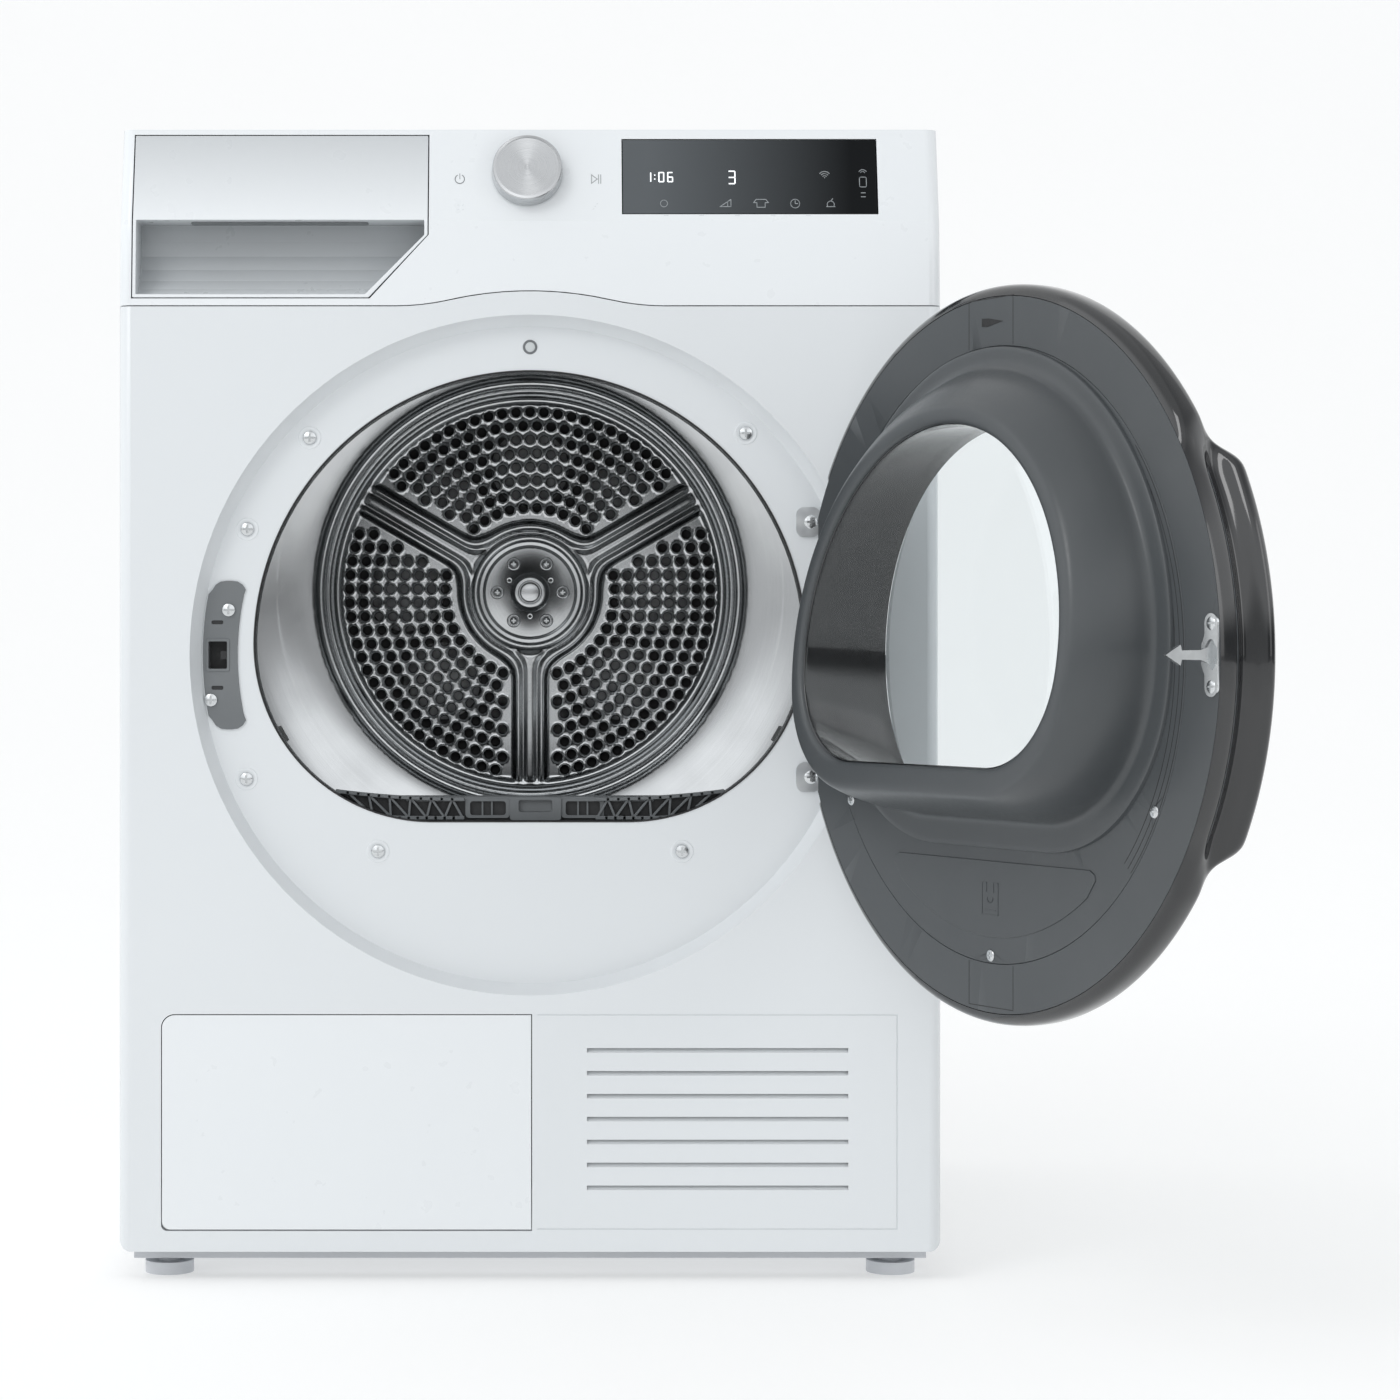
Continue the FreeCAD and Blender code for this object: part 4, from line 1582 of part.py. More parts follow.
def door_strike():
    """Metal strike: plate on the frame and the hook that enters the latch."""
    plate = box("strike_plate", ("-latch_x - 6", "-latch_x + 6"), (FACE, f"{FACE} + 2"),
                ("ring_z - strike_half", "ring_z + strike_half"))
    arm = box("strike_arm", ("-latch_x - 1.5", "-latch_x + 1.5"), (f"{FACE} + 2", f"{FACE} + strike_reach"),
              ("ring_z - 4", "ring_z + 4"))
    head = box("strike_head", ("-latch_x - 1.5", "-latch_x + 1.5"), (f"{FACE} + strike_reach - 7", f"{FACE} + strike_reach"),
               ("ring_z - 7", "ring_z + 7"))
    holes = []
    for i, z in enumerate(STRIKE_SCREWS):
        place = ("-latch_x", z)
        holes.append(rod(f"strike_hole_{i}", "y", "screw_radius + running", place, (f"{FACE} - 1", f"{FACE} + 3")))
        holes.append(rod(f"strike_sink_{i}", "y", "screw_head - 1 + running", place, (STRIKE_SEAT, f"{FACE} + 3")))
    return node(open_door(cut("door_strike", join("strike_solid", plate, arm, head), *holes)), "door_strike")


def door_screw(name, x, y, z):
    """A screw along Y with its head on the machine's side of the face at y."""
    head = rod(f"{name}_head", "y", "screw_head - 1", (x, z), (y, f"{y} + door_head_high"))
    shank = rod(f"{name}_shank", "y", "screw_radius", (x, z), (f"{y} - screw_long", y))
    return join(name, head, shank)


def door_screws():
    made = [door_screw(f"cover_screw_{i}", x, FACE, z) for i, (x, z) in enumerate(COVER_SCREWS)]
    made += [door_screw(f"strike_screw_{i}", "-latch_x", STRIKE_SEAT, z) for i, z in enumerate(STRIKE_SCREWS)]
    return node(open_door(group("door_screws", *made)), "door_screws")


def door_hinge_arms():
    """Plates behind the frame ring whose eyes turn on the hinge pins."""
    made = []
    for i, z in enumerate(HINGE_LEVELS):
        low = f"{z} + hinge_plate / 2 + 0.5"
        span = (low, f"{low} + hinge_plate")
        leaf = box(f"arm_leaf_{i}", ("hinge_x - 38", "hinge_x - 17"), (f"{FACE} - 16", f"{FACE} - plastic"), span)
        reach = box(f"arm_reach_{i}", ("hinge_x - 20", "hinge_x"), (f"{HINGE_Y} - 4", f"{HINGE_Y} + 15"), span)
        eye = rod(f"arm_eye_{i}", "z", "hinge_eye - 1", ("hinge_x", HINGE_Y), span)
        hole = rod(f"arm_hole_{i}", "z", "hinge_pin + running", ("hinge_x", HINGE_Y), (f"{low} - 2", f"{low} + 8"))
        made.append(cut(f"hinge_arm_{i}", join(f"hinge_arm_solid_{i}", leaf, reach, eye), hole))
    return node(open_door(group("door_hinge_arms", *made)), "door_hinge_arms")


# ------------------------------------------------------------------------------------------------
# Build, check and write
# ------------------------------------------------------------------------------------------------
base_tray()
levelling_feet()
side_panel("side_panel_left", -1)
side_panel("side_panel_right", 1)
front_panel()
service_flap()
vent_grille()
control_fascia()
drawer_front()
display_glass()
control_board()
program_knob()
top_cover()
rear_panel()
rear_duct_cover()
latch_housing()
opening_screws()
hinge_screws()
hinge_brackets()
front_bulkhead()
drum_front_seal()
lint_duct()
lint_filter()
drum_shell()
drum_back()
drum_hub()
hub_screws()
drum_shaft()
drum_lifters()
rear_bulkhead()
rear_bearing()
support_roller("support_roller_left", -1)
support_roller("support_roller_right", 1)
drive_belt()
idler_pulley()
tension_arm()
motor_housing()
motor_rotor()
fan_wheel()
blower_housing()
exchanger("evaporator", f"{FRONT} + 62", f"{FRONT} + 160")
exchanger("condenser", f"{FRONT} + 170", f"{FRONT} + 270")
exchanger_cover()
compressor()
condensate_pump()
drain_hose()
water_tank()
tank_lid()
tank_guide()
drain_spigot()
mains_inlet()
door_frame()
door_inner_cover()
door_bowl()
door_window()
door_outer_trim()
door_strike()
door_screws()
door_hinge_arms()
doc.recompute()

for thing in doc.Objects:
    if "Invalid" in thing.State or "Error" in thing.State:
        raise RuntimeError(f"{thing.Label} did not compute")
for thing in nodes:
    if thing.Shape.isNull() or not thing.Shape.isValid() or not thing.Shape.Solids:
        raise RuntimeError(f"{thing.Label} has no valid solid")

os.makedirs("parts", exist_ok=True)
for thing in nodes:
    thing.Shape.exportStep(f"parts/{thing.Label}.step")
print(len(nodes), "nodes")
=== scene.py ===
"""Looks of the free-standing clothes dryer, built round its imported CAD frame.

Shapes are written in millimetres in the row frame and turned into metres as each mesh is made.
Pieces of the door are written as if it were shut, and are then turned with it.
"""
import json
import math

import bmesh
import bpy
from mathutils import Matrix, Vector
from mathutils.geometry import delaunay_2d_cdt


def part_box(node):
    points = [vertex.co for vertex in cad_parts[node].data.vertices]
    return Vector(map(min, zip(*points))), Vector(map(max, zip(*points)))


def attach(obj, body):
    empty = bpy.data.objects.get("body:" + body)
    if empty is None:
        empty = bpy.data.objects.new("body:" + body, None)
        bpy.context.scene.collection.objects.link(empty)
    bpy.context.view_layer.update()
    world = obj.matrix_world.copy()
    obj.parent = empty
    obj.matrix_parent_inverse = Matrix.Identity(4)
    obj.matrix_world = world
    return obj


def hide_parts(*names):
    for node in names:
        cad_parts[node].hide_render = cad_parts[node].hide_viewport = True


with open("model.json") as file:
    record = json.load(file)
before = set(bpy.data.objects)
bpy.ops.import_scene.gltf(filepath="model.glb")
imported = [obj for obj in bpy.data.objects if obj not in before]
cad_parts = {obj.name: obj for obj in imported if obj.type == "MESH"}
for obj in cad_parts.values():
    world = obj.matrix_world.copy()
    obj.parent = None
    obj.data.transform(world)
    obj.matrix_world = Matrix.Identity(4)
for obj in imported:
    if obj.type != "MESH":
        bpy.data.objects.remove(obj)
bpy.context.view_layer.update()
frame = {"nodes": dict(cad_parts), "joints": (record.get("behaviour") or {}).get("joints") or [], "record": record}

MM = 0.001
NODES = frame["nodes"]
JOINTS = {joint["name"]: joint for joint in frame["joints"]}
HINGE_X, HINGE_Y, RING_Z = (value / MM for value in JOINTS["door_hinge"]["pos_m"])
DRUM_Z = JOINTS["drum_spin"]["pos_m"][2] / MM
DOOR_OPEN = -math.radians(JOINTS["door_hinge"]["range_deg"][0])
FRONT_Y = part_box("front_panel")[0].y / MM          # front plane
FLOOR_Y = FRONT_Y + 16                             # floor of the round dish
FACE_Y = FRONT_Y + 12                              # inner face of the shut door
PLATE_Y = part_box("drum_shell")[1].y / MM - 7.2     # drum back, seen from the front
BAR_Z = 775                                        # lower edge of the leaning control bar
BAR_Y = FRONT_Y + 5.4
LEAN = math.radians(15.8)
DOOR_TURN = (
    Matrix.Translation((HINGE_X * MM, HINGE_Y * MM, 0))
    @ Matrix.Rotation(DOOR_OPEN, 4, "Z")
    @ Matrix.Translation((-HINGE_X * MM, -HINGE_Y * MM, 0))
)


# ---- Materials ----
def material(name, colour, roughness, metallic=0.0, **sockets):
    """A Principled material; further sockets are given by their names with _ for a space."""
    made = bpy.data.materials.new(name)
    made.use_nodes = True
    shader = made.node_tree.nodes["Principled BSDF"]
    shader.inputs["Base Color"].default_value = (*colour, 1)
    shader.inputs["Roughness"].default_value = roughness
    shader.inputs["Metallic"].default_value = metallic
    for socket, value in sockets.items():
        shader.inputs[socket.replace("_", " ")].default_value = value
    return made


def add_node(made, kind, links=(), **values):
    """A node with its inputs set or linked: links are (input name, output socket)."""
    node = made.node_tree.nodes.new(kind)
    for name, value in values.items():
        if hasattr(node, name):
            setattr(node, name, value)
        else:
            node.inputs[name.replace("_", " ")].default_value = value
    for name, socket in links:
        made.node_tree.links.new(socket, node.inputs[name])
    return node


def grain(made, scale, stretch=(1, 1, 1), detail=3.0):
    """Noise in the object's own space; scale is in features per metre."""
    place = add_node(made, "ShaderNodeTexCoord")
    mapping = add_node(made, "ShaderNodeMapping", [("Vector", place.outputs["Object"])], Scale=stretch)
    noise = add_node(made, "ShaderNodeTexNoise", [("Vector", mapping.outputs["Vector"])], Scale=scale,
                     Detail=detail)
    return noise.outputs["Fac"]


def rings(made, centre, scale):
    """Noise that is drawn out into circles about an axis along Y, as on turned or brushed metal."""
    place = add_node(made, "ShaderNodeTexCoord")
    shifted = add_node(made, "ShaderNodeMapping", [("Vector", place.outputs["Object"])],
                       Location=tuple(-value for value in centre), Scale=(1, 0, 1))
    length = add_node(made, "ShaderNodeVectorMath", [(0, shifted.outputs["Vector"])], operation="LENGTH")
    parts = add_node(made, "ShaderNodeSeparateXYZ", [("Vector", place.outputs["Object"])])
    way = [("X", length.outputs["Value"]), ("Y", parts.outputs["Y"])]
    joined = add_node(made, "ShaderNodeCombineXYZ", way)
    noise = add_node(made, "ShaderNodeTexNoise", [("Vector", joined.outputs["Vector"])], Scale=scale,
                     Detail=4.0)
    return noise.outputs["Fac"]


def tint(made, pattern, dark, light):
    """Let a pattern carry the colour from dark to light."""
    ramp = add_node(made, "ShaderNodeValToRGB", [("Fac", pattern)])
    ramp.color_ramp.elements[0].position = 0.3
    ramp.color_ramp.elements[0].color = (*dark, 1)
    ramp.color_ramp.elements[1].position = 0.7
    ramp.color_ramp.elements[1].color = (*light, 1)
    shader = made.node_tree.nodes["Principled BSDF"]
    made.node_tree.links.new(ramp.outputs["Color"], shader.inputs["Base Color"])


def spread(made, value, start, end, low, high):
    """Map a value from start..end to low..high."""
    mapped = add_node(made, "ShaderNodeMapRange", [("Value", value)])
    mapped.inputs["From Min"].default_value = start
    mapped.inputs["From Max"].default_value = end
    mapped.inputs["To Min"].default_value = low
    mapped.inputs["To Max"].default_value = high
    return mapped.outputs["Result"]


def polish(made, pattern, low, high):
    """Let a pattern carry the roughness."""
    rough = spread(made, pattern, 0.3, 0.7, low, high)
    shader = made.node_tree.nodes["Principled BSDF"]
    made.node_tree.links.new(rough, shader.inputs["Roughness"])


def relief(made, pattern, depth, strength=1.0):
    """Let a pattern raise the surface; depth is in millimetres."""
    bump = add_node(made, "ShaderNodeBump", [("Height", pattern)], Strength=strength, Distance=depth * MM)
    shader = made.node_tree.nodes["Principled BSDF"]
    made.node_tree.links.new(bump.outputs["Normal"], shader.inputs["Normal"])


def white_enamel():
    made = material("white_enamel", (0.76, 0.79, 0.81), 0.32, Coat_Weight=0.3, Coat_Roughness=0.14)
    tint(made, grain(made, 3), (0.757, 0.786, 0.806), (0.763, 0.793, 0.813))
    polish(made, grain(made, 40), 0.29, 0.34)
    relief(made, grain(made, 900), 0.006, 0.2)
    return made


def white_plastic():
    made = material("white_plastic", (0.82, 0.85, 0.87), 0.30, Coat_Weight=0.25, Coat_Roughness=0.1)
    tint(made, grain(made, 4), (0.817, 0.846, 0.866), (0.823, 0.853, 0.873))
    polish(made, grain(made, 60), 0.27, 0.32)
    relief(made, grain(made, 1500), 0.004, 0.15)
    return made


def grip_shaded_plastic():
    """White plastic with painted shade: its colour darkens towards the depth of the drawer's grip."""
    made = material("grip_shaded_plastic", (0.82, 0.85, 0.87), 0.30, Coat_Weight=0.25, Coat_Roughness=0.1)
    place = add_node(made, "ShaderNodeTexCoord")
    parts = add_node(made, "ShaderNodeSeparateXYZ", [("Vector", place.outputs["Object"])])
    # painted shade: the colour darkens with depth into the grip's recess
    deep = spread(made, parts.outputs["Y"], (FRONT_Y + 6) * MM, (FRONT_Y + 42) * MM, 0.7, 0.3)
    tint(made, deep, (0.34, 0.36, 0.375), (0.82, 0.85, 0.87))
    polish(made, grain(made, 60), 0.27, 0.32)
    relief(made, grain(made, 1500), 0.004, 0.15)
    return made


def galvanised_steel():
    made = material("galvanised_steel", (0.62, 0.64, 0.65), 0.38, 0.9)
    tint(made, grain(made, 90, detail=1.0), (0.52, 0.54, 0.56), (0.70, 0.72, 0.73))
    polish(made, grain(made, 120), 0.30, 0.46)
    relief(made, grain(made, 400), 0.02, 0.3)
    return made


def stainless_steel():
    made = material("stainless_steel", (0.66, 0.675, 0.685), 0.22, 1.0, Anisotropic=0.4)
    brushed = rings(made, (0, 0, DRUM_Z * MM), 2600)
    tint(made, brushed, (0.57, 0.585, 0.595), (0.64, 0.655, 0.665))
    polish(made, grain(made, 25), 0.19, 0.25)
    relief(made, brushed, 0.008, 0.15)
    return made


def shaded_shell_steel():
    """Brushed steel of the drum's mantle and of the collar in the opening, with painted shade: a darker copy of
    the stainless steel.
    """
    made = material("shaded_shell_steel", (0.40, 0.41, 0.42), 0.24, 1.0, Anisotropic=0.4)
    brushed = rings(made, (0, 0, DRUM_Z * MM), 2600)
    # painted shade: the colour is darker than that of the stainless steel
    tint(made, brushed, (0.18, 0.19, 0.195), (0.24, 0.25, 0.255))
    polish(made, grain(made, 25), 0.20, 0.27)
    return made


def screw_steel():
    made = material("screw_steel", (0.58, 0.60, 0.61), 0.28, 1.0)
    tint(made, grain(made, 60), (0.60, 0.62, 0.63), (0.66, 0.68, 0.69))
    polish(made, grain(made, 90), 0.20, 0.28)
    return made


def moulded(name, dark, light, rough, depth=0.03, scale=1800):
    """Matte moulding with a fine spark-eroded grain."""
    made = material(name, light, rough[0])
    tint(made, grain(made, 14), dark, light)
    polish(made, grain(made, 300), *rough)
    relief(made, grain(made, scale, detail=2.0), depth, 0.5)
    return made


def dark_grey_plastic():
    return moulded("dark_grey_plastic", (0.062, 0.069, 0.074), (0.070, 0.077, 0.082), (0.30, 0.36), 0.015)


def grey_plastic():
    return moulded("grey_plastic", (0.15, 0.162, 0.17), (0.18, 0.192, 0.20), (0.38, 0.50))


def light_grey_plastic():
    return moulded("light_grey_plastic", (0.63, 0.65, 0.68), (0.67, 0.69, 0.72), (0.40, 0.52), 0.01)


def black_plastic():
    return moulded("black_plastic", (0.018, 0.019, 0.02), (0.030, 0.031, 0.033), (0.42, 0.55))


def tank_plastic():
    return moulded("tank_plastic", (0.60, 0.63, 0.64), (0.68, 0.71, 0.72), (0.30, 0.42), 0.02)


def black_gloss():
    made = material("black_gloss", (0.012, 0.013, 0.014), 0.12, Coat_Weight=0.6, Coat_Roughness=0.04)
    tint(made, grain(made, 10), (0.010, 0.011, 0.012), (0.016, 0.017, 0.019))
    polish(made, grain(made, 70), 0.09, 0.15)
    relief(made, grain(made, 40), 0.02, 0.15)
    return made


def display_glass():
    """Smoked glass with a painted reflection: its colour is lighter at its left end."""
    made = material("display_glass", (0.01, 0.011, 0.012), 0.07, Specular_IOR_Level=0.12)
    place = add_node(made, "ShaderNodeTexCoord")
    parts = add_node(made, "ShaderNodeSeparateXYZ", [("Vector", place.outputs["Object"])])
    left, right = (corner.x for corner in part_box("display_glass"))
    # painted reflection: the colour runs from lighter at the left end to darker at the right
    across = spread(made, parts.outputs["X"], left, right, 0.75, 0.25)
    tint(made, across, (0.004, 0.005, 0.006), (0.110, 0.121, 0.130))
    polish(made, grain(made, 50), 0.05, 0.09)
    return made


def clear_window():
    made = material("clear_window", (0.93, 0.97, 0.98), 0.02, Transmission_Weight=1.0, IOR=1.45)
    polish(made, grain(made, 3), 0.0, 0.002)
    return made


def brushed_metal():
    made = material("brushed_metal", (0.54, 0.55, 0.56), 0.26, 1.0, Anisotropic=0.85)
    place = add_node(made, "ShaderNodeTexCoord")
    length = add_node(made, "ShaderNodeVectorMath", [(0, place.outputs["Object"])], operation="LENGTH")
    noise = add_node(made, "ShaderNodeTexNoise", [("Vector", length.outputs["Value"])], Scale=4000,
                     Detail=3.0)
    tint(made, noise.outputs["Fac"], (0.50, 0.51, 0.52), (0.60, 0.61, 0.62))
    polish(made, noise.outputs["Fac"], 0.22, 0.32)
    turned = add_node(made, "ShaderNodeTangent", direction_type="RADIAL", axis="Z")
    shader = made.node_tree.nodes["Principled BSDF"]
    made.node_tree.links.new(turned.outputs["Tangent"], shader.inputs["Tangent"])
    return made


def green_board():
    return moulded("green_board", (0.02, 0.11, 0.05), (0.03, 0.16, 0.07), (0.3, 0.4))


def fin_aluminium():
    made = material("fin_aluminium", (0.70, 0.71, 0.72), 0.35, 1.0)
    fins = grain(made, 500, (1, 1, 0.02))
    tint(made, fins, (0.45, 0.46, 0.47), (0.80, 0.81, 0.82))
    relief(made, fins, 0.3, 0.6)
    return made


def black_paint():
    made = material("black_paint", (0.02, 0.02, 0.021), 0.35, Coat_Weight=0.2)
    polish(made, grain(made, 60), 0.28, 0.45)
    tint(made, grain(made, 20), (0.016, 0.016, 0.017), (0.028, 0.028, 0.03))
    relief(made, grain(made, 600), 0.05, 0.4)
    return made


def black_rubber():
    return moulded("black_rubber", (0.014, 0.014, 0.015), (0.026, 0.026, 0.028), (0.55, 0.72), 0.05)


def felt():
    made = material("felt", (0.42, 0.43, 0.44), 0.9, Sheen_Weight=0.4)
    tint(made, grain(made, 1200, detail=6.0), (0.32, 0.33, 0.34), (0.55, 0.56, 0.57))
    relief(made, grain(made, 1600, detail=6.0), 0.3, 0.8)
    return made


def print_grey():
    return moulded("print_grey", (0.33, 0.35, 0.36), (0.38, 0.40, 0.41), (0.35, 0.45), 0.005)


def faint_print():
    return moulded("faint_print", (0.66, 0.69, 0.71), (0.70, 0.73, 0.75), (0.35, 0.45), 0.005)


def lit_print():
    """Lit digits behind the display glass."""
    made = material("lit_print", (0.9, 0.93, 0.95), 0.4, Emission_Color=(0.9, 0.95, 1, 1),
                    Emission_Strength=0.75)
    tint(made, grain(made, 500), (0.82, 0.85, 0.87), (0.95, 0.97, 0.98))
    return made


def dim_print():
    made = material("dim_print", (0.25, 0.27, 0.28), 0.4, Emission_Color=(0.6, 0.65, 0.7, 1),
                    Emission_Strength=0.12)
    tint(made, grain(made, 500), (0.20, 0.22, 0.23), (0.30, 0.32, 0.33))
    return made


def studio_floor():
    made = material("studio_floor", (0.60, 0.60, 0.60), 0.9, Specular_IOR_Level=0.0,
                    Emission_Color=(0.99, 1, 1, 1), Emission_Strength=0.44)
    tint(made, grain(made, 2), (0.60, 0.60, 0.60), (0.605, 0.605, 0.605))
    return made


MATERIALS = {make.__name__: make() for make in (
    white_enamel, white_plastic, grip_shaded_plastic, galvanised_steel, stainless_steel, shaded_shell_steel,
    screw_steel, dark_grey_plastic, grey_plastic, light_grey_plastic, black_plastic, tank_plastic,
    black_gloss, display_glass, clear_window, brushed_metal, green_board, fin_aluminium, black_paint,
    black_rubber, felt, print_grey, faint_print, lit_print, dim_print, studio_floor,
)}


def paint_frame():
    """Give every CAD node the material of its slot, and three of them a variant of it with painted shade: the
    drawer front in its grip, and the drum's mantle and collar in darker steel.
    """
    for subpart in frame["record"]["subparts"]:
        mesh = NODES[subpart["node"]].data
        mesh.materials.clear()
        mesh.materials.append(MATERIALS[subpart["material_slot"]])
    # drawer front: white plastic with painted shade in its grip
    NODES["drawer_front"].data.materials[0] = MATERIALS["grip_shaded_plastic"]
    # drum mantle and collar: the steel with painted shade
    for name in ("drum_shell", "front_bulkhead"):
        NODES[name].data.materials[0] = MATERIALS["shaded_shell_steel"]


# ---- Shape helpers ----
SAME_POINT = 0.00001                               # metres


def piece(name, points, faces, finish, body, door=False, sharp=35, replaces=(), place=None):
    """A mesh object of the scene; finish is a material's name."""
    mesh = bpy.data.meshes.new(name)
    mesh.from_pydata([Vector(point) * MM for point in points], [], faces)
    joined = bmesh.new()
    joined.from_mesh(mesh)
    bmesh.ops.remove_doubles(joined, verts=joined.verts, dist=SAME_POINT)
    bmesh.ops.recalc_face_normals(joined, faces=joined.faces)
    joined.to_mesh(mesh)
    joined.free()
    if door:
        mesh.transform(DOOR_TURN)
    mesh.materials.append(MATERIALS[finish])
    mesh.shade_smooth()
    mesh.set_sharp_from_angle(angle=math.radians(sharp))
    made = bpy.data.objects.new(name, mesh)
    bpy.context.scene.collection.objects.link(made)
    if place:
        made.matrix_world = place
    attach(made, body)
    if replaces:
        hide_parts(*replaces)
    return made


def soften(made, width, segments=2, angle=30):
    """Round the sharp edges of a piece."""
    bevel = made.modifiers.new("soften", "BEVEL")
    bevel.width = width * MM
    bevel.segments = segments
    bevel.limit_method = "ANGLE"
    bevel.angle_limit = math.radians(angle)
    bevel.harden_normals = True
    return made


def loft(sections, closed=True, caps=False):
    """Points and faces of a skin through sections that have the same number of points."""
    count = len(sections[0])
    points = [point for section in sections for point in section]
    faces = []
    for level in range(len(sections) - 1):
        for i in range(count if closed else count - 1):
            here, after = level * count + i, level * count + (i + 1) % count
            faces.append((here, after, after + count, here + count))
    if caps:
        faces.append(tuple(range(count)))
        faces.append(tuple(range((len(sections) - 1) * count, len(sections) * count)))
    return points, faces


def turned(profile, centre, count=96, start=0.0, end=360.0):
    """A profile of (y, radius) turned about a line along Y through centre, (x, z)."""
    whole = abs(end - start) >= 360
    steps = count if whole else count + 1
    sections = []
    for y, radius in profile:
        section = []
        for i in range(steps):
            angle = math.radians(start + (end - start) * i / count)
            section.append((centre[0] + radius * math.cos(angle), y, centre[1] + radius * math.sin(angle)))
        sections.append(section)
    return loft(sections, closed=whole)


def dee(radius, rise, flat, corner, count=120):
    """Points of a D lying on its flat, evenly spaced from the top and round to the left, about (0, 0)."""
    corner_up = corner - flat - rise
    corner_x = math.sqrt(max((radius - corner) ** 2 - corner_up ** 2, 0))
    turn = math.atan2(corner_up, corner_x)
    top = radius * (math.pi / 2 - turn)
    bend = corner * (turn + math.pi / 2)
    half = top + bend + corner_x
    points = []
    for i in range(count):
        way = 2 * half * i / count
        side = -1 if way <= half else 1
        way = way if way <= half else 2 * half - way
        if way < top:
            angle = math.pi / 2 - way / radius
            x, z = radius * math.cos(angle), rise + radius * math.sin(angle)
        elif way < top + bend:
            angle = turn - (way - top) / corner
            x, z = corner_x + corner * math.cos(angle), corner - flat + corner * math.sin(angle)
        else:
            x, z = corner_x - (way - top - bend), -flat
        points.append((side * x, z))
    return points


def triangles(outlines):
    """Fill between closed outlines of (x, z): the first is the outside, the others are holes."""
    points, edges = [], []
    for outline in outlines:
        first = len(points)
        points += [Vector(point) for point in outline]
        edges += [(first + i, first + (i + 1) % len(outline)) for i in range(len(outline))]
    result = delaunay_2d_cdt(points, edges, [], 1, 1e-6)
    flat, faces = result[0], result[2]
    kept = []
    for face in faces:
        middle = sum((flat[i] for i in face), Vector((0, 0))) / len(face)
        if inside(middle, outlines[0]) and not any(inside(middle, hole) for hole in outlines[1:]):
            kept.append(tuple(face))
    return flat, kept


def inside(point, outline):
    """True if a point lies in a closed outline."""
    hit = False
    for (x1, z1), (x2, z2) in zip(outline, list(outline[1:]) + [outline[0]]):
        if (z1 > point[1]) != (z2 > point[1]) and point[0] < x1 + (point[1] - z1) * (x2 - x1) / (z2 - z1):
            hit = not hit
    return hit


def slab(outlines, front, back, place=None):
    """A plate between two depths, with holes; place turns (x, z, depth) into a point."""
    place = place or (lambda x, z, depth: (x, depth, z))
    flat, faces = triangles(outlines)
    count = len(flat)
    points = [place(x, z, front) for x, z in flat] + [place(x, z, back) for x, z in flat]
    all_faces = list(faces) + [tuple(count + i for i in reversed(face)) for face in faces]
    borders = {}
    for face in faces:
        for a, b in zip(face, face[1:] + face[:1]):
            borders[frozenset((a, b))] = None if frozenset((a, b)) in borders else (a, b)
    for edge in borders.values():
        if edge:
            a, b = edge
            all_faces.append((a, b, count + b, count + a))
    return points, all_faces


def merge(*parts):
    """Several (points, faces) pairs as one."""
    points, faces = [], []
    for more_points, more_faces in parts:
        shift = len(points)
        points += list(more_points)
        faces += [tuple(shift + i for i in face) for face in more_faces]
    return points, faces


def rounded(corners, radius, steps=6):
    """An outline of (x, z) with its corners rounded; radius is one number or one for each corner."""
    radii = radius if isinstance(radius, (list, tuple)) else [radius] * len(corners)
    made = []
    for i, here in enumerate(corners):
        here = Vector(here)
        before = (Vector(corners[i - 1]) - here).normalized()
        after = (Vector(corners[(i + 1) % len(corners)]) - here).normalized()
        if radii[i] <= 0:
            made.append(tuple(here))
            continue
        half = before.angle(after) / 2
        trim = radii[i] / math.tan(half)
        centre = here + (before + after).normalized() * radii[i] / math.sin(half)
        first, last = here + before * trim - centre, here + after * trim - centre
        turn = first.angle_signed(last)
        for k in range(steps + 1):
            angle = -turn * k / steps
            spun = Matrix.Rotation(angle, 2) @ first
            made.append(tuple(centre + spun))
    return made


def rectangle(left, right, low, high):
    return [(left, low), (right, low), (right, high), (left, high)]


def circle(x, z, radius, count=32):
    return [(x + radius * math.cos(2 * math.pi * i / count), z + radius * math.sin(2 * math.pi * i / count))
            for i in range(count)]


def bar_place(x, z, lift=0.0):
    """A point on the leaning control bar, raised from it by lift."""
    y = BAR_Y + (z - BAR_Z) * math.tan(LEAN)
    return x, y - lift * math.cos(LEAN), z + lift * math.sin(LEAN)


def strokes(paths, width, low, high, place):
    """Thin raised lines along paths of (x, z); place turns (x, z, height) into a point."""
    parts = []
    for path in paths:
        for (x1, z1), (x2, z2) in zip(path, path[1:]):
            along = Vector((x2 - x1, z2 - z1))
            if along.length < 1e-6:
                continue
            along = along.normalized() * width / 2
            side = Vector((-along.y, along.x))
            start, end = Vector((x1, z1)) - along, Vector((x2, z2)) + along
            outline = [start - side, end - side, end + side, start + side]
            bottom = [place(x, z, low) for x, z in outline]
            top = [place(x, z, high) for x, z in outline]
            parts.append(loft([bottom, top], caps=True))
    return merge(*parts)


def arc(x, z, radius, start, end, count=16):
    """Points along part of a circle; angles are in degrees."""
    made = []
    for i in range(count + 1):
        angle = math.radians(start + (end - start) * i / count)
        made.append((x + radius * math.cos(angle), z + radius * math.sin(angle)))
    return made


def smooth(value, low, high):
    """0 below low, 1 above high, and a smooth step between."""
    share = min(max((value - low) / (high - low), 0), 1)
    return share * share * (3 - 2 * share)


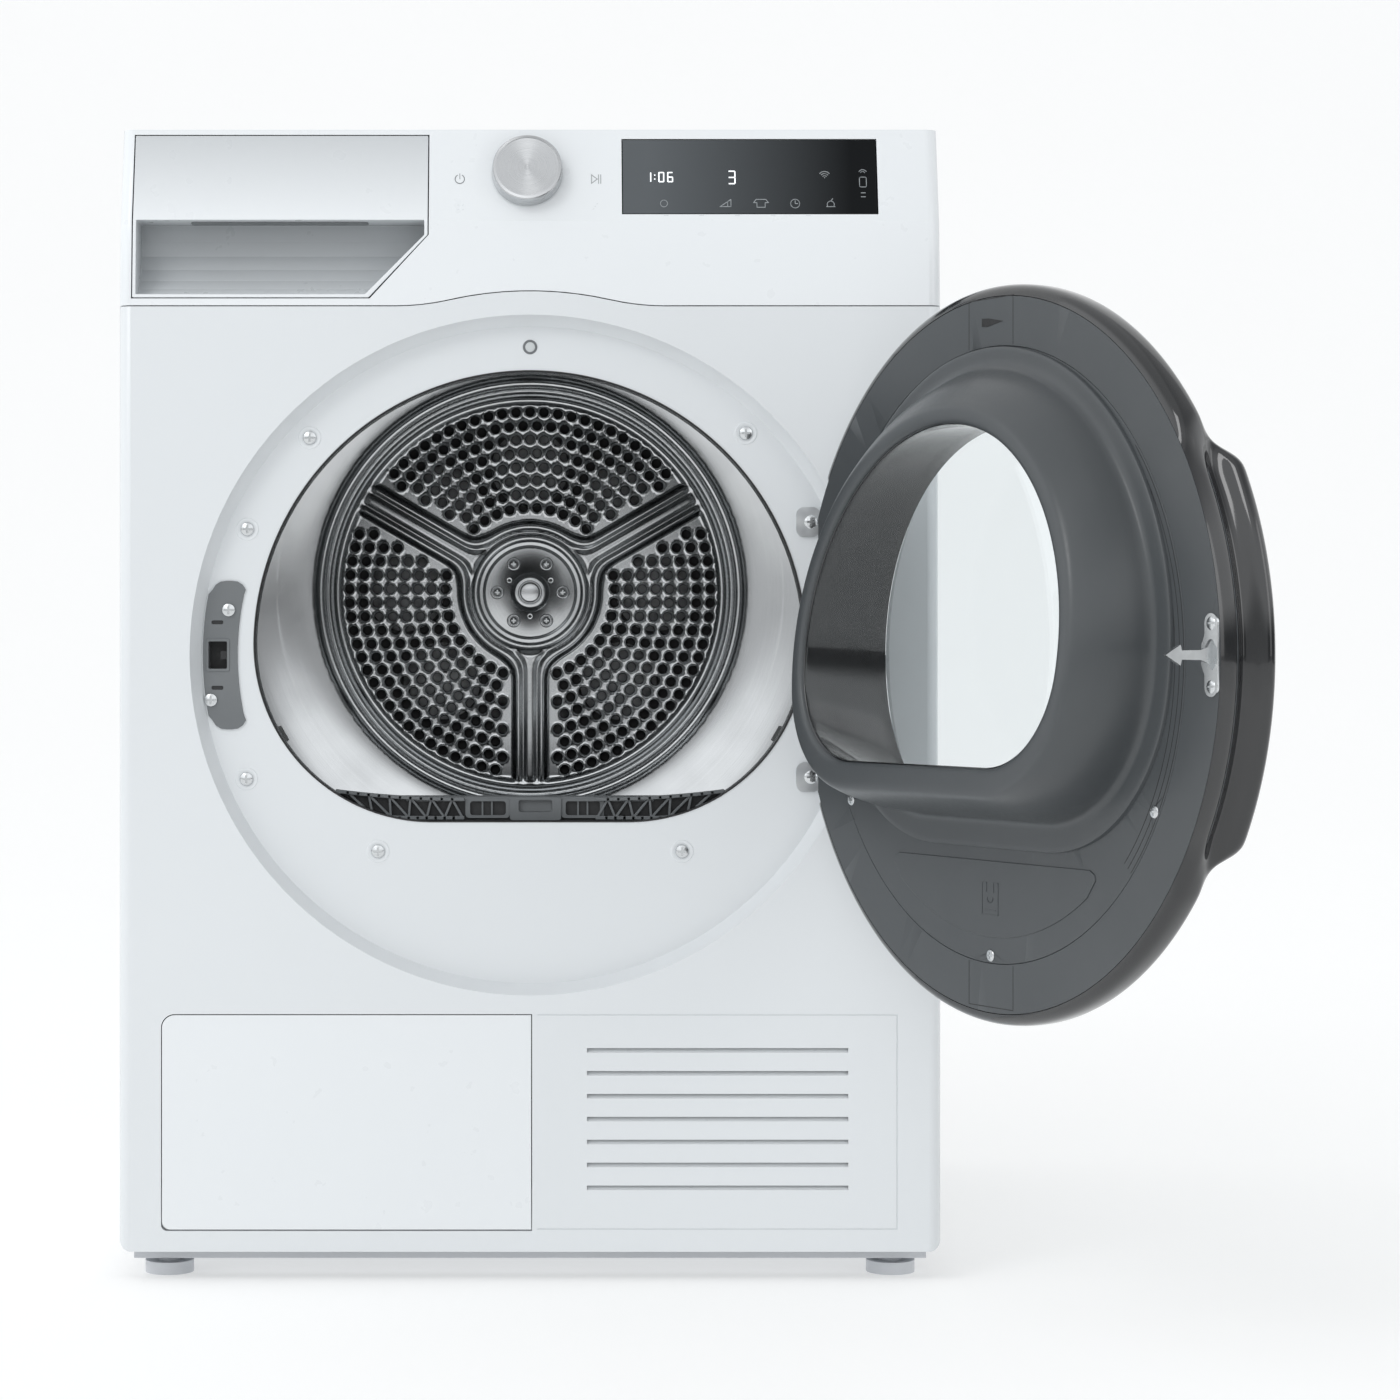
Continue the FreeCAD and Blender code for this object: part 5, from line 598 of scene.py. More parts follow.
CRISP = {
    "front_panel": 0.6, "control_fascia": 0.7, "drawer_front": 0.6, "service_flap": 0.5, "top_cover": 0.8,
    "door_frame": 0.5, "door_inner_cover": 0.4, "base_tray": 0.6,
}


def ease_frame():
    """Small roundings on the CAD panels that are seen, so that their edges catch the light."""
    for name, width in CRISP.items():
        weld = NODES[name].modifiers.new("weld", "WELD")
        weld.merge_threshold = 0.01 * MM
        edge = NODES[name].modifiers.new("edge", "BEVEL")
        edge.width = width * MM
        edge.segments = 2
        edge.limit_method = "ANGLE"
        edge.angle_limit = math.radians(40)
        edge.harden_normals = True


# ---- Control bar ----
PRINT_LOW, PRINT_HIGH = -0.05, 0.08                # printed marks on the bar
LIT_LOW, LIT_HIGH = 0.02, 0.12                     # lit marks on the display


def power_icon(x, z, size):
    return [arc(x, z, size, 120, 420, 24), [(x, z + size * 0.1), (x, z + size * 1.15)]]


def play_icon(x, z, size):
    left = x - size * 0.9
    triangle = [(left, z - size), (left, z + size), (left + size * 1.3, z), (left, z - size)]
    bars = [[(left + size * shift, z - size), (left + size * shift, z + size)] for shift in (1.6, 2.1)]
    return [triangle] + bars


SEGMENTS = {
    "a": ((0, 2), (1, 2)), "b": ((1, 2), (1, 1)), "c": ((1, 1), (1, 0)), "d": ((0, 0), (1, 0)),
    "e": ((0, 0), (0, 1)), "f": ((0, 1), (0, 2)), "g": ((0, 1), (1, 1)),
}
DIGITS = {"0": "abcdef", "1": "bc", "3": "abcdg", "6": "acdefg"}


def digit(sign, x, z, high):
    """Strokes of a seven-segment digit with its lower left corner at x, z."""
    wide = high * 0.5
    gap = high * 0.06
    made = []
    for segment in DIGITS[sign]:
        (x1, z1), (x2, z2) = SEGMENTS[segment]
        start = Vector((x + x1 * wide, z + z1 * high / 2))
        end = Vector((x + x2 * wide, z + z2 * high / 2))
        short = (end - start).normalized() * gap
        made.append([tuple(start + short), tuple(end - short)])
    return made


def bar_prints():
    marks = power_icon(-51.5, 807, 3.4) + play_icon(48, 807, 3.2)
    piece("bar_icons", *strokes(marks, 0.65, PRINT_LOW, PRINT_HIGH, bar_place), "print_grey", "cabinet")
    faint = []
    for x, z in ((-53, 783.5), (-49.5, 783.5), (-53, 787), (-49.5, 787), (46, 784), (47.4, 786),
                 (48.8, 788)):
        faint.append([(x, z), (x + 0.8, z + 0.4)])
    piece("bar_marks", *strokes(faint, 0.5, PRINT_LOW, PRINT_HIGH, bar_place), "faint_print", "cabinet")


def display_marks():
    """Digits and small signs of the display: programme time, level, radio and the four options."""
    lit = digit("1", 85, 805, 7) + digit("0", 94.5, 805, 7) + digit("6", 101, 805, 7)
    lit += [[(91.4, 807), (91.5, 807)], [(91.4, 810), (91.5, 810)]]
    lit += digit("3", 145.5, 803.5, 9.5)
    piece("display_digits", *strokes(lit, 0.85, LIT_LOW, LIT_HIGH, bar_place), "lit_print", "cabinet")
    radio = [arc(216, 808, radius, 45, 135, 8) for radius in (1.6, 3.2, 4.8)]
    radio.append([(216, 808), (216.1, 808)])
    piece("display_radio", *strokes(radio, 0.6, LIT_LOW, LIT_HIGH, bar_place), "print_grey", "cabinet")
    dim = [[(139, 786), (147, 786), (147, 791.5), (139, 786)], [(144.6, 786), (144.6, 790)]]
    shirt = [(166, 785.5), (166, 789), (163.5, 789), (165.5, 791.5), (172.5, 791.5), (174.5, 789),
             (172, 789), (172, 785.5), (166, 785.5)]
    dim += [shirt, arc(194, 788.3, 3.3, 0, 360, 20), [(194, 790.4), (194, 788.3), (195.8, 788.3)]]
    dim += [arc(220, 787.6, 2.6, -40, 220, 14), [(217, 786), (223, 786)], [(220, 790.2), (221.5, 792)]]
    dim += [arc(98, 788.4, 2.6, 0, 360, 16)]
    handset = rounded(rectangle(241.5, 246.5, 801, 808.5), 1)
    dim += [handset + handset[:1], arc(244, 811, 1.8, 35, 145, 6), arc(244, 811, 3.2, 35, 145, 8)]
    dim += [[(242.5, 796.5), (245.5, 796.5)], [(242.5, 793.5), (245.5, 793.5)]]
    piece("display_signs", *strokes(dim, 0.5, LIT_LOW, LIT_HIGH, bar_place), "dim_print", "cabinet")
    points, faces = strokes([[(98 + 26 * i, 779.3), (101 + 26 * i, 779.3)] for i in range(5)], 0.5,
                            PRINT_LOW, PRINT_HIGH, bar_place)
    piece("touch_marks", points, faces, "faint_print", "cabinet")


KNOB_Z = 811
KNOB_GAP = 0.9                                     # between the bar and the knob


def knob():
    """Turned metal knob: shallow dished face, bright chamfer, slightly conical side with a shadow gap."""
    centre = Vector(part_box("program_knob")[0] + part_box("program_knob")[1]) / 2
    radius, high = 26.0, 12.2
    profile = [(-high, radius - 3.0), (-high + 0.2, radius - 1.2), (-high + 1.0, radius - 0.6),
               (-high / 2, radius - 0.2), (-0.6, radius), (0.0, radius - 0.8), (0.0, 5)]
    face = [(-high + 0.5 + 0.25 * (1 - (i / 14) ** 2), (radius - 3.0) * i / 14) for i in range(15)]
    points, faces = turned(face + profile, (0, 0), 128)
    points = [(x, z, -y) for x, y, z in points]
    out = Vector((0, -math.cos(LEAN), math.sin(LEAN)))
    base = Vector(bar_place(centre.x / MM, KNOB_Z, KNOB_GAP)) * MM
    place = Matrix.Translation(base) @ out.to_track_quat("Z", "Y").to_matrix().to_4x4()
    piece("knob_turned", points, faces, "brushed_metal", "knob", sharp=28, replaces=("program_knob",),
          place=place)


def grip_shade():
    """Grey sheet on the ceiling of the drawer's grip, painting the shade in its finger slot."""
    ceiling = rectangle(-249, -119, FRONT_Y + 17, FRONT_Y + 32)
    outline = rounded(ceiling, 4)
    points, faces = slab([outline], BAR_Z + 0.2, BAR_Z + 0.9, lambda x, y, level: (x, y, level))
    # painted shade: a grey sheet standing for the dark of the finger slot
    piece("grip_slot_shade", points, faces, "grey_plastic", "tank_drawer")


# ---- Dish and opening ----
def cross_head(x, z, seat, radius, high, direction=-1):
    """Pan head with a cross recess, on a seat at depth y; direction -1 raises it towards the front."""
    arm, half, deep = radius * 0.62, radius * 0.15, high * 0.55
    cross = [(half, half), (half, arm), (-half, arm), (-half, half), (-arm, half), (-arm, -half),
             (-half, -half), (-half, -arm), (half, -arm), (half, -half), (arm, -half), (arm, half)]
    flat, faces = triangles([circle(0, 0, radius * 0.92, 24), cross])
    parts = []

    def dome(along, up):
        share = min(math.hypot(along, up) / radius, 1)
        return high * math.sqrt(1 - 0.75 * share * share)

    parts.append(([(x + a, seat + direction * dome(a, u), z + u) for a, u in flat], faces))
    rim = [circle(0, 0, radius * 0.92, 24), circle(0, 0, radius, 24), circle(0, 0, radius, 24)]
    heights = [dome(radius * 0.92, 0), high * 0.3, 0]
    parts.append(loft([[(x + a, seat + direction * level, z + u) for a, u in outline]
                       for outline, level in zip(rim, heights)]))
    top = [(x + a, seat + direction * dome(a, u), z + u) for a, u in cross]
    bottom = [(x + a, seat + direction * (high - deep), z + u) for a, u in cross]
    walls, wall_faces = loft([top, bottom])
    parts.append((walls, wall_faces + [tuple(range(12, 24))]))
    return merge(*parts)


def polar(radius, degrees):
    return radius * math.cos(math.radians(degrees)), RING_Z + radius * math.sin(math.radians(degrees))


PANEL_SCREWS = [polar(227, angle) for angle in (45.8, 135.4, 156, 203.6)]
PANEL_SCREWS += [(-111.5, RING_Z - 144), (111.5, RING_Z - 144)]
LATCH_SCREWS = [(-221, RING_Z + 33), (-234, RING_Z - 33)]
HINGE_LEVELS = (RING_Z + 97.6, RING_Z - 89.5)


def dish_screws():
    parts = [cross_head(x, z, FLOOR_Y, 5.0, 2.4) for x, z in PANEL_SCREWS]
    parts += [cross_head(x, z, FLOOR_Y - 1.5, 5.0, 2.4) for x, z in LATCH_SCREWS]
    piece("opening_screw_heads", *merge(*parts), "screw_steel", "cabinet", replaces=("opening_screws",))
    collars = [turned([(FLOOR_Y + 0.1, 8.6), (FLOOR_Y - 0.45, 8.0), (FLOOR_Y - 0.5, 6.6),
                       (FLOOR_Y - 0.1, 5.6)], place, 32)
               for place in PANEL_SCREWS]
    piece("screw_dimples", *merge(*collars), "white_enamel", "cabinet")
    points, faces = merge(*[cross_head(HINGE_X - 20, z, FLOOR_Y - 2, 5.0, 1.4) for z in HINGE_LEVELS])
    piece("hinge_screw_heads", points, faces, "screw_steel", "cabinet", replaces=("hinge_screws",))


def hinges():
    """Rounded pad on the dish, strap, ear with a round eye, and the riveted pin."""
    parts = []
    x, thick, eye, pin = HINGE_X, 1.5, 8, 3
    for z in HINGE_LEVELS:
        pad = rounded(rectangle(x - 31, x - 13, z - 11, z + 11), 6)
        strap = rectangle(x - 18, x + eye, z - thick, z + thick)
        parts += [slab([pad], FLOOR_Y - 2, FLOOR_Y), slab([strap], FLOOR_Y - 2, FLOOR_Y)]
        ear = [(x - eye, FLOOR_Y), (x + eye, FLOOR_Y)] + arc(x, HINGE_Y, eye, 0, -180)
        parts.append(slab([ear], z - thick, z + thick, lambda along, deep, level: (along, deep, level)))
        ends = [[(a, b, level) for a, b in circle(x, HINGE_Y, pin)] for level in (z - 3, z + 9)]
        parts.append(loft(ends, caps=True))
    points, faces = merge(*parts)
    made = piece("hinge_plates", points, faces, "galvanised_steel", "cabinet", replaces=("hinge_brackets",))
    soften(made, 0.4)


def opening_shadow_line():
    """Thin dark bead between the white dish and the steel collar, painting the shadow in the gap at the opening's
    edge.
    """
    outlines = [(0.0, -0.5), (-0.4, -0.7), (-1.1, -0.4), (-1.3, 0.6), (-0.9, 2.2), (0.2, 2.4)]
    sections = []
    for grow, back in outlines:
        outline = dee(203 + grow, 6, 122.7 + grow, 131 + grow, 240)
        sections.append([(x, FLOOR_Y + back, RING_Z + z) for x, z in outline])
    # painted shadow: a dark bead where the opening's edge meets the collar
    piece("opening_shadow_ring", *loft(sections), "black_rubber", "cabinet")


def dish_lens():
    """Small round lamp window above the opening, and the dark stop beside it."""
    ring = turned([(FLOOR_Y + 0.1, 5.4), (FLOOR_Y - 0.7, 5.0), (FLOOR_Y - 0.8, 4.0), (FLOOR_Y - 0.2, 3.6)],
                  (0, RING_Z + 226), 40)
    piece("lamp_ring", *ring, "grey_plastic", "cabinet")
    lens = turned([(FLOOR_Y - 0.2, 3.7), (FLOOR_Y - 0.5, 2.6), (FLOOR_Y - 0.6, 0.02)], (0, RING_Z + 226),
                  32)
    piece("lamp_lens", *lens, "tank_plastic", "cabinet")
    stop = turned([(FLOOR_Y + 0.1, 4.4), (FLOOR_Y - 3.2, 4.0), (FLOOR_Y - 4.0, 3.0),
                   (FLOOR_Y - 4.2, 0.02)], (222, RING_Z + 44), 32)
    piece("door_stop", *stop, "black_rubber", "cabinet")


LATCH_X = -229                                     # middle of the latch hole
LATCH_INNER, LATCH_OUTER = 214.5, 240.0            # the plate's two arcs about the dish's middle
LATCH_HALF = 54.5                                  # half the plate's height
LATCH_CORNER = 10.0


def latch_outline():
    """Edge of the latch plate: two arcs joined by rounded ends."""
    side = LATCH_HALF - LATCH_CORNER
    outer = -math.sqrt((LATCH_OUTER - LATCH_CORNER) ** 2 - LATCH_HALF ** 2)
    inner = -math.sqrt((LATCH_INNER + LATCH_CORNER) ** 2 - LATCH_HALF ** 2)
    steps = 14
    levels = [side - 2 * side * i / steps for i in range(steps + 1)]

    def edge(radius, ups):
        return [(-math.sqrt(radius * radius - up * up), RING_Z + up) for up in ups]

    def bend(x, up, start):
        return arc(x, RING_Z + up, LATCH_CORNER, start, start + 50, 2)

    low = [(outer + 1, RING_Z - LATCH_HALF), (inner - 1, RING_Z - LATCH_HALF)]
    high = [(inner - 1, RING_Z + LATCH_HALF), (outer + 1, RING_Z + LATCH_HALF)]
    left = edge(LATCH_OUTER, levels) + bend(outer, -side, 200)
    right = bend(inner, -side, 290) + edge(LATCH_INNER, reversed(levels)) + bend(inner, side, 20)
    return left + low + right + high + bend(outer, side, 110)


def latch_plate():
    """Grey plate with rounded ends, its framed hole with the box behind, and two slots."""
    x, z = LATCH_X, RING_Z
    hole = rounded(rectangle(x - 6.8, x + 6.8, z - 10, z + 10), 1, 3)
    slots = [rounded(rectangle(x - 4.5, x + 4, z + s - 1.4, z + s + 1.4), 1, 3)
             for s in (24, -24)]
    plate = slab([latch_outline(), hole] + slots, FLOOR_Y - 1.5, FLOOR_Y)
    frame_out = rounded(rectangle(x - 8.6, x + 8.6, z - 12, z + 12), 1.5, 3)
    raised = slab([frame_out, hole], FLOOR_Y - 2.2, FLOOR_Y - 1.4)
    box_walls = loft([[(a, FLOOR_Y, u) for a, u in hole], [(a, FLOOR_Y + 40, u) for a, u in hole]])
    points, faces = merge(plate, raised, box_walls)
    made = piece("latch_plate", points, faces, "grey_plastic", "cabinet", replaces=("latch_housing",))
    soften(made, 0.35)
    back = slab([hole], FLOOR_Y + 14, FLOOR_Y + 15)
    bolt = slab([rectangle(x + 1.9, x + 6.7, z - 3, z + 3)], FLOOR_Y + 1.5, FLOOR_Y + 9)
    slot_backs = [slab([slot], FLOOR_Y - 0.4, FLOOR_Y - 0.1) for slot in slots]
    piece("latch_inside", *merge(back, bolt, *slot_backs), "black_plastic", "cabinet")


def lint_grille():
    """Lattice wings of the lint filter under the opening, and a black sheet behind them that paints the shade seen
    through the lattice and the handle's windows.
    """
    def deep(x, z, height):
        return x, FRONT_Y + 45 - height, z

    back = [(-141, RING_Z - 101.5)] + [(-141 + 47 * i, RING_Z - 122.4) for i in range(7)]
    back += [(141, RING_Z - 101.5)] + [(x, RING_Z - 107.5) for x in (60, 0, -60)]
    # painted shade: a black sheet behind the lattice
    piece("lint_shade", *slab([back], FRONT_Y + 49.2, FRONT_Y + 49.8), "black_plastic", "cabinet")
    rails, braces = [], []
    for side in (-1, 1):
        shares = [i / 12 for i in range(13)]
        upper = [(side * (50 + 93 * share), RING_Z - 107 + 6.0 * share ** 2) for share in shares]
        dips = [12 * max(0, share - 0.45) ** 2 for share in shares]
        lower = [(side * (50 + 80 * share), RING_Z - 120.8 + dip) for share, dip in zip(shares, dips)]
        rails += [upper, lower]
        for i in range(0, 11):
            a, b = (lower[i], upper[i + 1]) if i % 2 == 0 else (upper[i], lower[i + 1])
            braces.append([a, b])
    points, faces = merge(strokes(rails, 2.6, -3, 3, deep), strokes(braces, 1.8, -3, 1.6, deep))
    made = piece("lint_lattice", points, faces, "grey_plastic", "cabinet")
    soften(made, 0.4)


def filter_handle():
    """Handle block with a thumb recess between two dark windows, on the lint filter."""
    front = FRONT_Y + 47.5
    top = RING_Z - 105.5
    block = rounded(rectangle(-15, 23, top - 17, top), 2)
    thumb = rounded(rectangle(-8.5, 16.5, top - 11, top - 2), 2)
    ring = slab([block, thumb], front - 3.5, front + 1)
    recess = loft([[(x, front - 3.2, z) for x, z in thumb], [(x * 0.98, front + 0.2, z) for x, z in thumb]])
    floor_ = slab([thumb], front + 0.2, front + 0.9)
    frames = []
    for left, right in ((-48, -15), (23, 55)):
        outside = rounded(rectangle(left, right, top - 15.5, top - 1), 3)
        hole = rounded(rectangle(left + 3.5, right - 3, top - 13.5, top - 3), 2.2)
        frames.append(slab([outside, hole], front - 2, front + 1))
        frames += [slab([rectangle(x, x + 1.3, top - 14, top - 3)], front - 0.5, front + 0.6)
                   for x in (left + 12, left + 19)]
    rail = slab([rounded(rectangle(-92, 92, top - 3.2, top), 1)], front - 1.2, front + 1)
    points, faces = merge(ring, recess, floor_, rail, *frames)
    made = piece("filter_handle", points, faces, "grey_plastic", "lint_filter")
    soften(made, 0.5)


# ---- Drum ----
HOLE = 4.4                                         # radius of a hole in the drum back
HOLE_PITCH = 12.4
HOLE_ROWS = [158.5 - 12 * row for row in range(8)]
SPOKES = (30, 150, 270)                            # angles of the spokes
SPOKE_BLANK = 21                                   # half the strip along a spoke that has no holes
BACK_INNER, BACK_OUTER = 32, 280.5                 # the sheet's inner and outer edge
RIM_POINTS, EDGE_POINTS = 14, 180                  # points round a hole and round the sheet
MESH_STEP = 2.1
ROW_STEP = MESH_STEP * 0.866                       # rows of a triangular grid


def hole_centres():
    """Centres of the drum back's holes about its own middle, in rows that leave the spokes blank."""
    made = []
    for row, radius in enumerate(HOLE_ROWS):
        count = 3 * round(2 * math.pi * radius / HOLE_PITCH / 3)
        for i in range(count):
            angle = math.pi / 2 + 2 * math.pi * (i + 0.5 * (row % 2)) / count
            near = [abs(radius * math.sin(angle - math.radians(spoke))) for spoke in SPOKES
                    if math.cos(angle - math.radians(spoke)) > 0]
            if min(near) >= SPOKE_BLANK:
                made.append((radius * math.cos(angle), radius * math.sin(angle)))
    return made


def star_distance(x, z):
    """Distance outside the raised star of hub and spokes; less than nothing inside it."""
    distance = math.hypot(x, z) - 61
    for spoke in SPOKES:
        angle = math.radians(spoke)
        along = x * math.cos(angle) + z * math.sin(angle)
        across = abs(-x * math.sin(angle) + z * math.cos(angle))
        if along > 0:
            strip = across - 13.5
            blend = max(18 - abs(distance - strip), 0) / 18
            distance = min(distance, strip) - blend * blend * 18 / 4
    return distance


def ridge(value, middle, half):
    """A rounded ridge: 1 at the middle, 0 beyond half to each side."""
    share = abs(value - middle) / half
    return (1 - share * share) ** 2 if share < 1 else 0.0


def pressed_height(x, z):
    """How far the drum back is pressed towards the front at a point about its middle."""
    radius = math.hypot(x, z)
    distance = star_distance(x, z)
    in_disc = 1 - smooth(radius, 163, 168)
    height = in_disc * 4.0 * (1 - smooth(distance, -3.0, 2.5))
    height -= in_disc * 2.2 * ridge(distance, -7.5, 3.4)
    height += 3.6 * ridge(radius, 169, 5.5)
    height -= 3.0 * ridge(radius, 176.5, 5.0)
    height += 2.4 * ridge(radius, 184, 5.0)
    height += 13.0 * smooth(radius, 188, 262)
    if radius < 58:
        height -= 2.6 * (1 - smooth(radius, 50, 56))
    return height


def drum_back():
    """The pressed and perforated end of the drum, as one sheet."""
    centres = hole_centres()
    cell = 14.0
    near = {}
    for x, z in centres:
        near.setdefault((round(x / cell), round(z / cell)), []).append((x, z))

    def close_hole(x, z, reach):
        i, j = round(x / cell), round(z / cell)
        for a in (i - 1, i, i + 1):
            for b in (j - 1, j, j + 1):
                for cx, cz in near.get((a, b), ()):
                    if (x - cx) ** 2 + (z - cz) ** 2 < reach * reach:
                        return True
        return False

    points, heights, edges = [], [], []

    def ring(cx, cz, radius, raised, count, border):
        first = len(points)
        for x, z in circle(cx, cz, radius, count):
            points.append(Vector((x, z)))
            heights.append(pressed_height(x, z) + raised)
        if border:
            edges.extend((first + i, first + (i + 1) % count) for i in range(count))

    for cx, cz in centres:
        for grow, raised in ((0, -1.3), (0.35, -0.1), (0.8, 0.45), (1.5, 0.0)):
            ring(cx, cz, HOLE + grow, raised, RIM_POINTS, grow == 0)
    rows = int(192 / ROW_STEP)
    for j in range(-rows, rows + 1):
        z = j * ROW_STEP
        for i in range(-100, 101):
            x = (i + 0.5 * (j % 2)) * MESH_STEP
            if 34 < math.hypot(x, z) < 190 and not close_hole(x, z, HOLE + 2.3):
                points.append(Vector((x, z)))
                heights.append(pressed_height(x, z))
    for radius in (BACK_INNER, 192, 196, 202, 210, 220, 230, 240, 250, 260, 270, BACK_OUTER):
        ring(0, 0, radius, 0, EDGE_POINTS, radius in (BACK_INNER, BACK_OUTER))
    result = delaunay_2d_cdt(points, edges, [], 0, 1e-6)
    flat, faces, origin = result[0], result[2], result[3]
    kept = []
    for face in faces:
        middle = sum((flat[i] for i in face), Vector((0, 0))) / len(face)
        radius = middle.length
        if BACK_INNER < radius < BACK_OUTER and not close_hole(middle.x, middle.y, HOLE * 0.97):
            kept.append(tuple(face))
    solid = []
    for i, (x, z) in enumerate(flat):
        source = origin[i][0] if origin[i] else None
        height = heights[source] if source is not None else pressed_height(x, z)
        solid.append((x, PLATE_Y - height, DRUM_Z + z))
    made = piece("drum_back_pressed", solid, kept, "stainless_steel", "drum", sharp=60,
                 replaces=("drum_back",))
    sheet = made.modifiers.new("sheet", "SOLIDIFY")
    sheet.thickness = 0.9 * MM
    sheet.offset = -1


def hub():
    """Stamped hub: raised ring, screw plate with six screws, three marks and a round boss."""
    front = PLATE_Y - 3.2
    profile = [(front + 3.0, 53.5), (front + 0.4, 51.5), (front - 1.2, 49.5), (front - 1.6, 47.5),
               (front - 1.0, 45.5), (front + 0.6, 44), (front + 0.8, 41.5), (front - 0.2, 40),
               (front - 0.5, 38.5), (front - 0.5, 17.5), (front - 1.2, 16.2), (front - 4.2, 14.2),
               (front - 4.8, 13), (front - 4.6, 10.5), (front - 3.4, 9.6), (front - 3.4, 9.0),
               (front - 5.0, 8.4), (front - 5.3, 7.4), (front - 5.3, 0.02)]
    points, faces = turned(profile, (0, DRUM_Z), 120)
    piece("hub_stamped", points, faces, "stainless_steel", "drum", replaces=("drum_hub",))
    heads, dimples = [], []
    for i in range(6):
        angle = math.radians(60 * i)
        place = (28.7 * math.cos(angle), DRUM_Z + 28.7 * math.sin(angle))
        heads.append(cross_head(place[0], place[1], front - 0.5, 3.6, 1.6))
        dimples.append(turned([(front - 0.4, 6.2), (front - 0.9, 5.4), (front - 0.9, 4.6),
                               (front - 0.4, 4.0)], place, 28))
    piece("hub_screw_heads", *merge(*heads), "screw_steel", "drum", replaces=("hub_screws",))
    piece("hub_dimples", *merge(*dimples), "stainless_steel", "drum")
    marks = []
    for degrees in (30, 150, 270):
        angle = math.radians(degrees)
        place = (21 * math.cos(angle), DRUM_Z + 21 * math.sin(angle))
        marks.append(turned([(front - 0.45, 2.8), (front - 0.9, 2.3), (front - 0.8, 1.5),
                             (front - 0.3, 1.2), (front - 0.3, 0.02)],
                            place, 20))
    piece("hub_marks", *merge(*marks), "screw_steel", "drum")


# ---- Door, written as if shut ----
def door_section(outline, depth, tilt=0.0):
    """A section of the bowl: depth is from the door's inner face into the machine, tilt in degrees."""
    return [(x, FACE_Y + depth - math.tan(math.radians(tilt)) * z, RING_Z + z) for x, z in outline]


def between(keys, steps):
    """Smooth values between rows of key numbers, by a Catmull-Rom curve."""
    made = []
    for i in range(len(keys) - 1):
        p0, p1 = keys[max(i - 1, 0)], keys[i]
        p2, p3 = keys[i + 1], keys[min(i + 2, len(keys) - 1)]
        for k in range(steps):
            t = k / steps
            made.append([0.5 * (2 * b + (c - a) * t + (2 * a - 5 * b + 4 * c - d) * t ** 2
                                + (3 * b - a - 3 * c + d) * t ** 3)
                         for a, b, c, d in zip(p0, p1, p2, p3)])
    made.append(list(keys[-1]))
    return made


def bowl_skin(keys, steps):
    """Skin through rows of (radius, rise, flat, corner, depth, tilt)."""
    return loft([door_section(dee(*row[:4], 180), *row[4:]) for row in between(keys, steps)])


def bowl():
    """Deep D-shaped plug: flange, flare, soft lip and the tunnel back to the window."""
    flare = [
        # radius, rise, flat, corner, depth, tilt
        (192.0, 11, 127.0, 125, -0.4, 0), (191.6, 11, 126.5, 125, 1.6, 0), (190.4, 11, 125.5, 124, 2.6, 0),
        (183.0, 11.6, 115.5, 116, 3.2, 0), (178.5, 12, 109.5, 110, 4.2, 0),
        (176.2, 11.6, 106.8, 106, 8.0, 0.6), (174.0, 10.6, 104.8, 100, 18.0, 1.8),
        (171.0, 9.0, 101.5, 93, 30.0, 3.0), (166.5, 7.0, 97.0, 86, 42.0, 4.4),
        (162.0, 5.0, 92.2, 80, 51.0, 5.6), (159.8, 4.3, 89.8, 78, 54.2, 6), (157.6, 4, 87.4, 76, 55.4, 6),
        (154.0, 4, 82.0, 74, 55.8, 6), (150.0, 4, 75.5, 71, 55.6, 6), (148.0, 4, 72.8, 69, 54.6, 6),
        (147.2, 4, 71.8, 68.3, 52.6, 6),
    ]
    points, faces = bowl_skin(flare, 3)
    piece("bowl_flare", points, faces, "dark_grey_plastic", "door", door=True, sharp=50,
          replaces=("door_bowl",))
    inner = [(147.2, 4, 71.8, 68.3, 52.8, 6), (146.6, 4, 71.2, 68.0, 51.0, 6), (147.4, 3.6, 77, 72, 40, 5),
             (149.0, 2.4, 90.0, 84, 20.0, 3), (150.6, 1.0, 105.0, 97, 0.0, 1.0),
             (151.6, 0, 113.5, 105, -10.0, 0), (152.0, 0, 118.5, 110, -17.0, 0)]
    piece("bowl_tunnel", *bowl_skin(inner, 4), "black_gloss", "door", door=True, sharp=50)


GRIP_HALF = 33.0                                   # half the grip's angle
HINGE_GAP = (-24.5, 30.0)                          # angles of the gap for the hinges


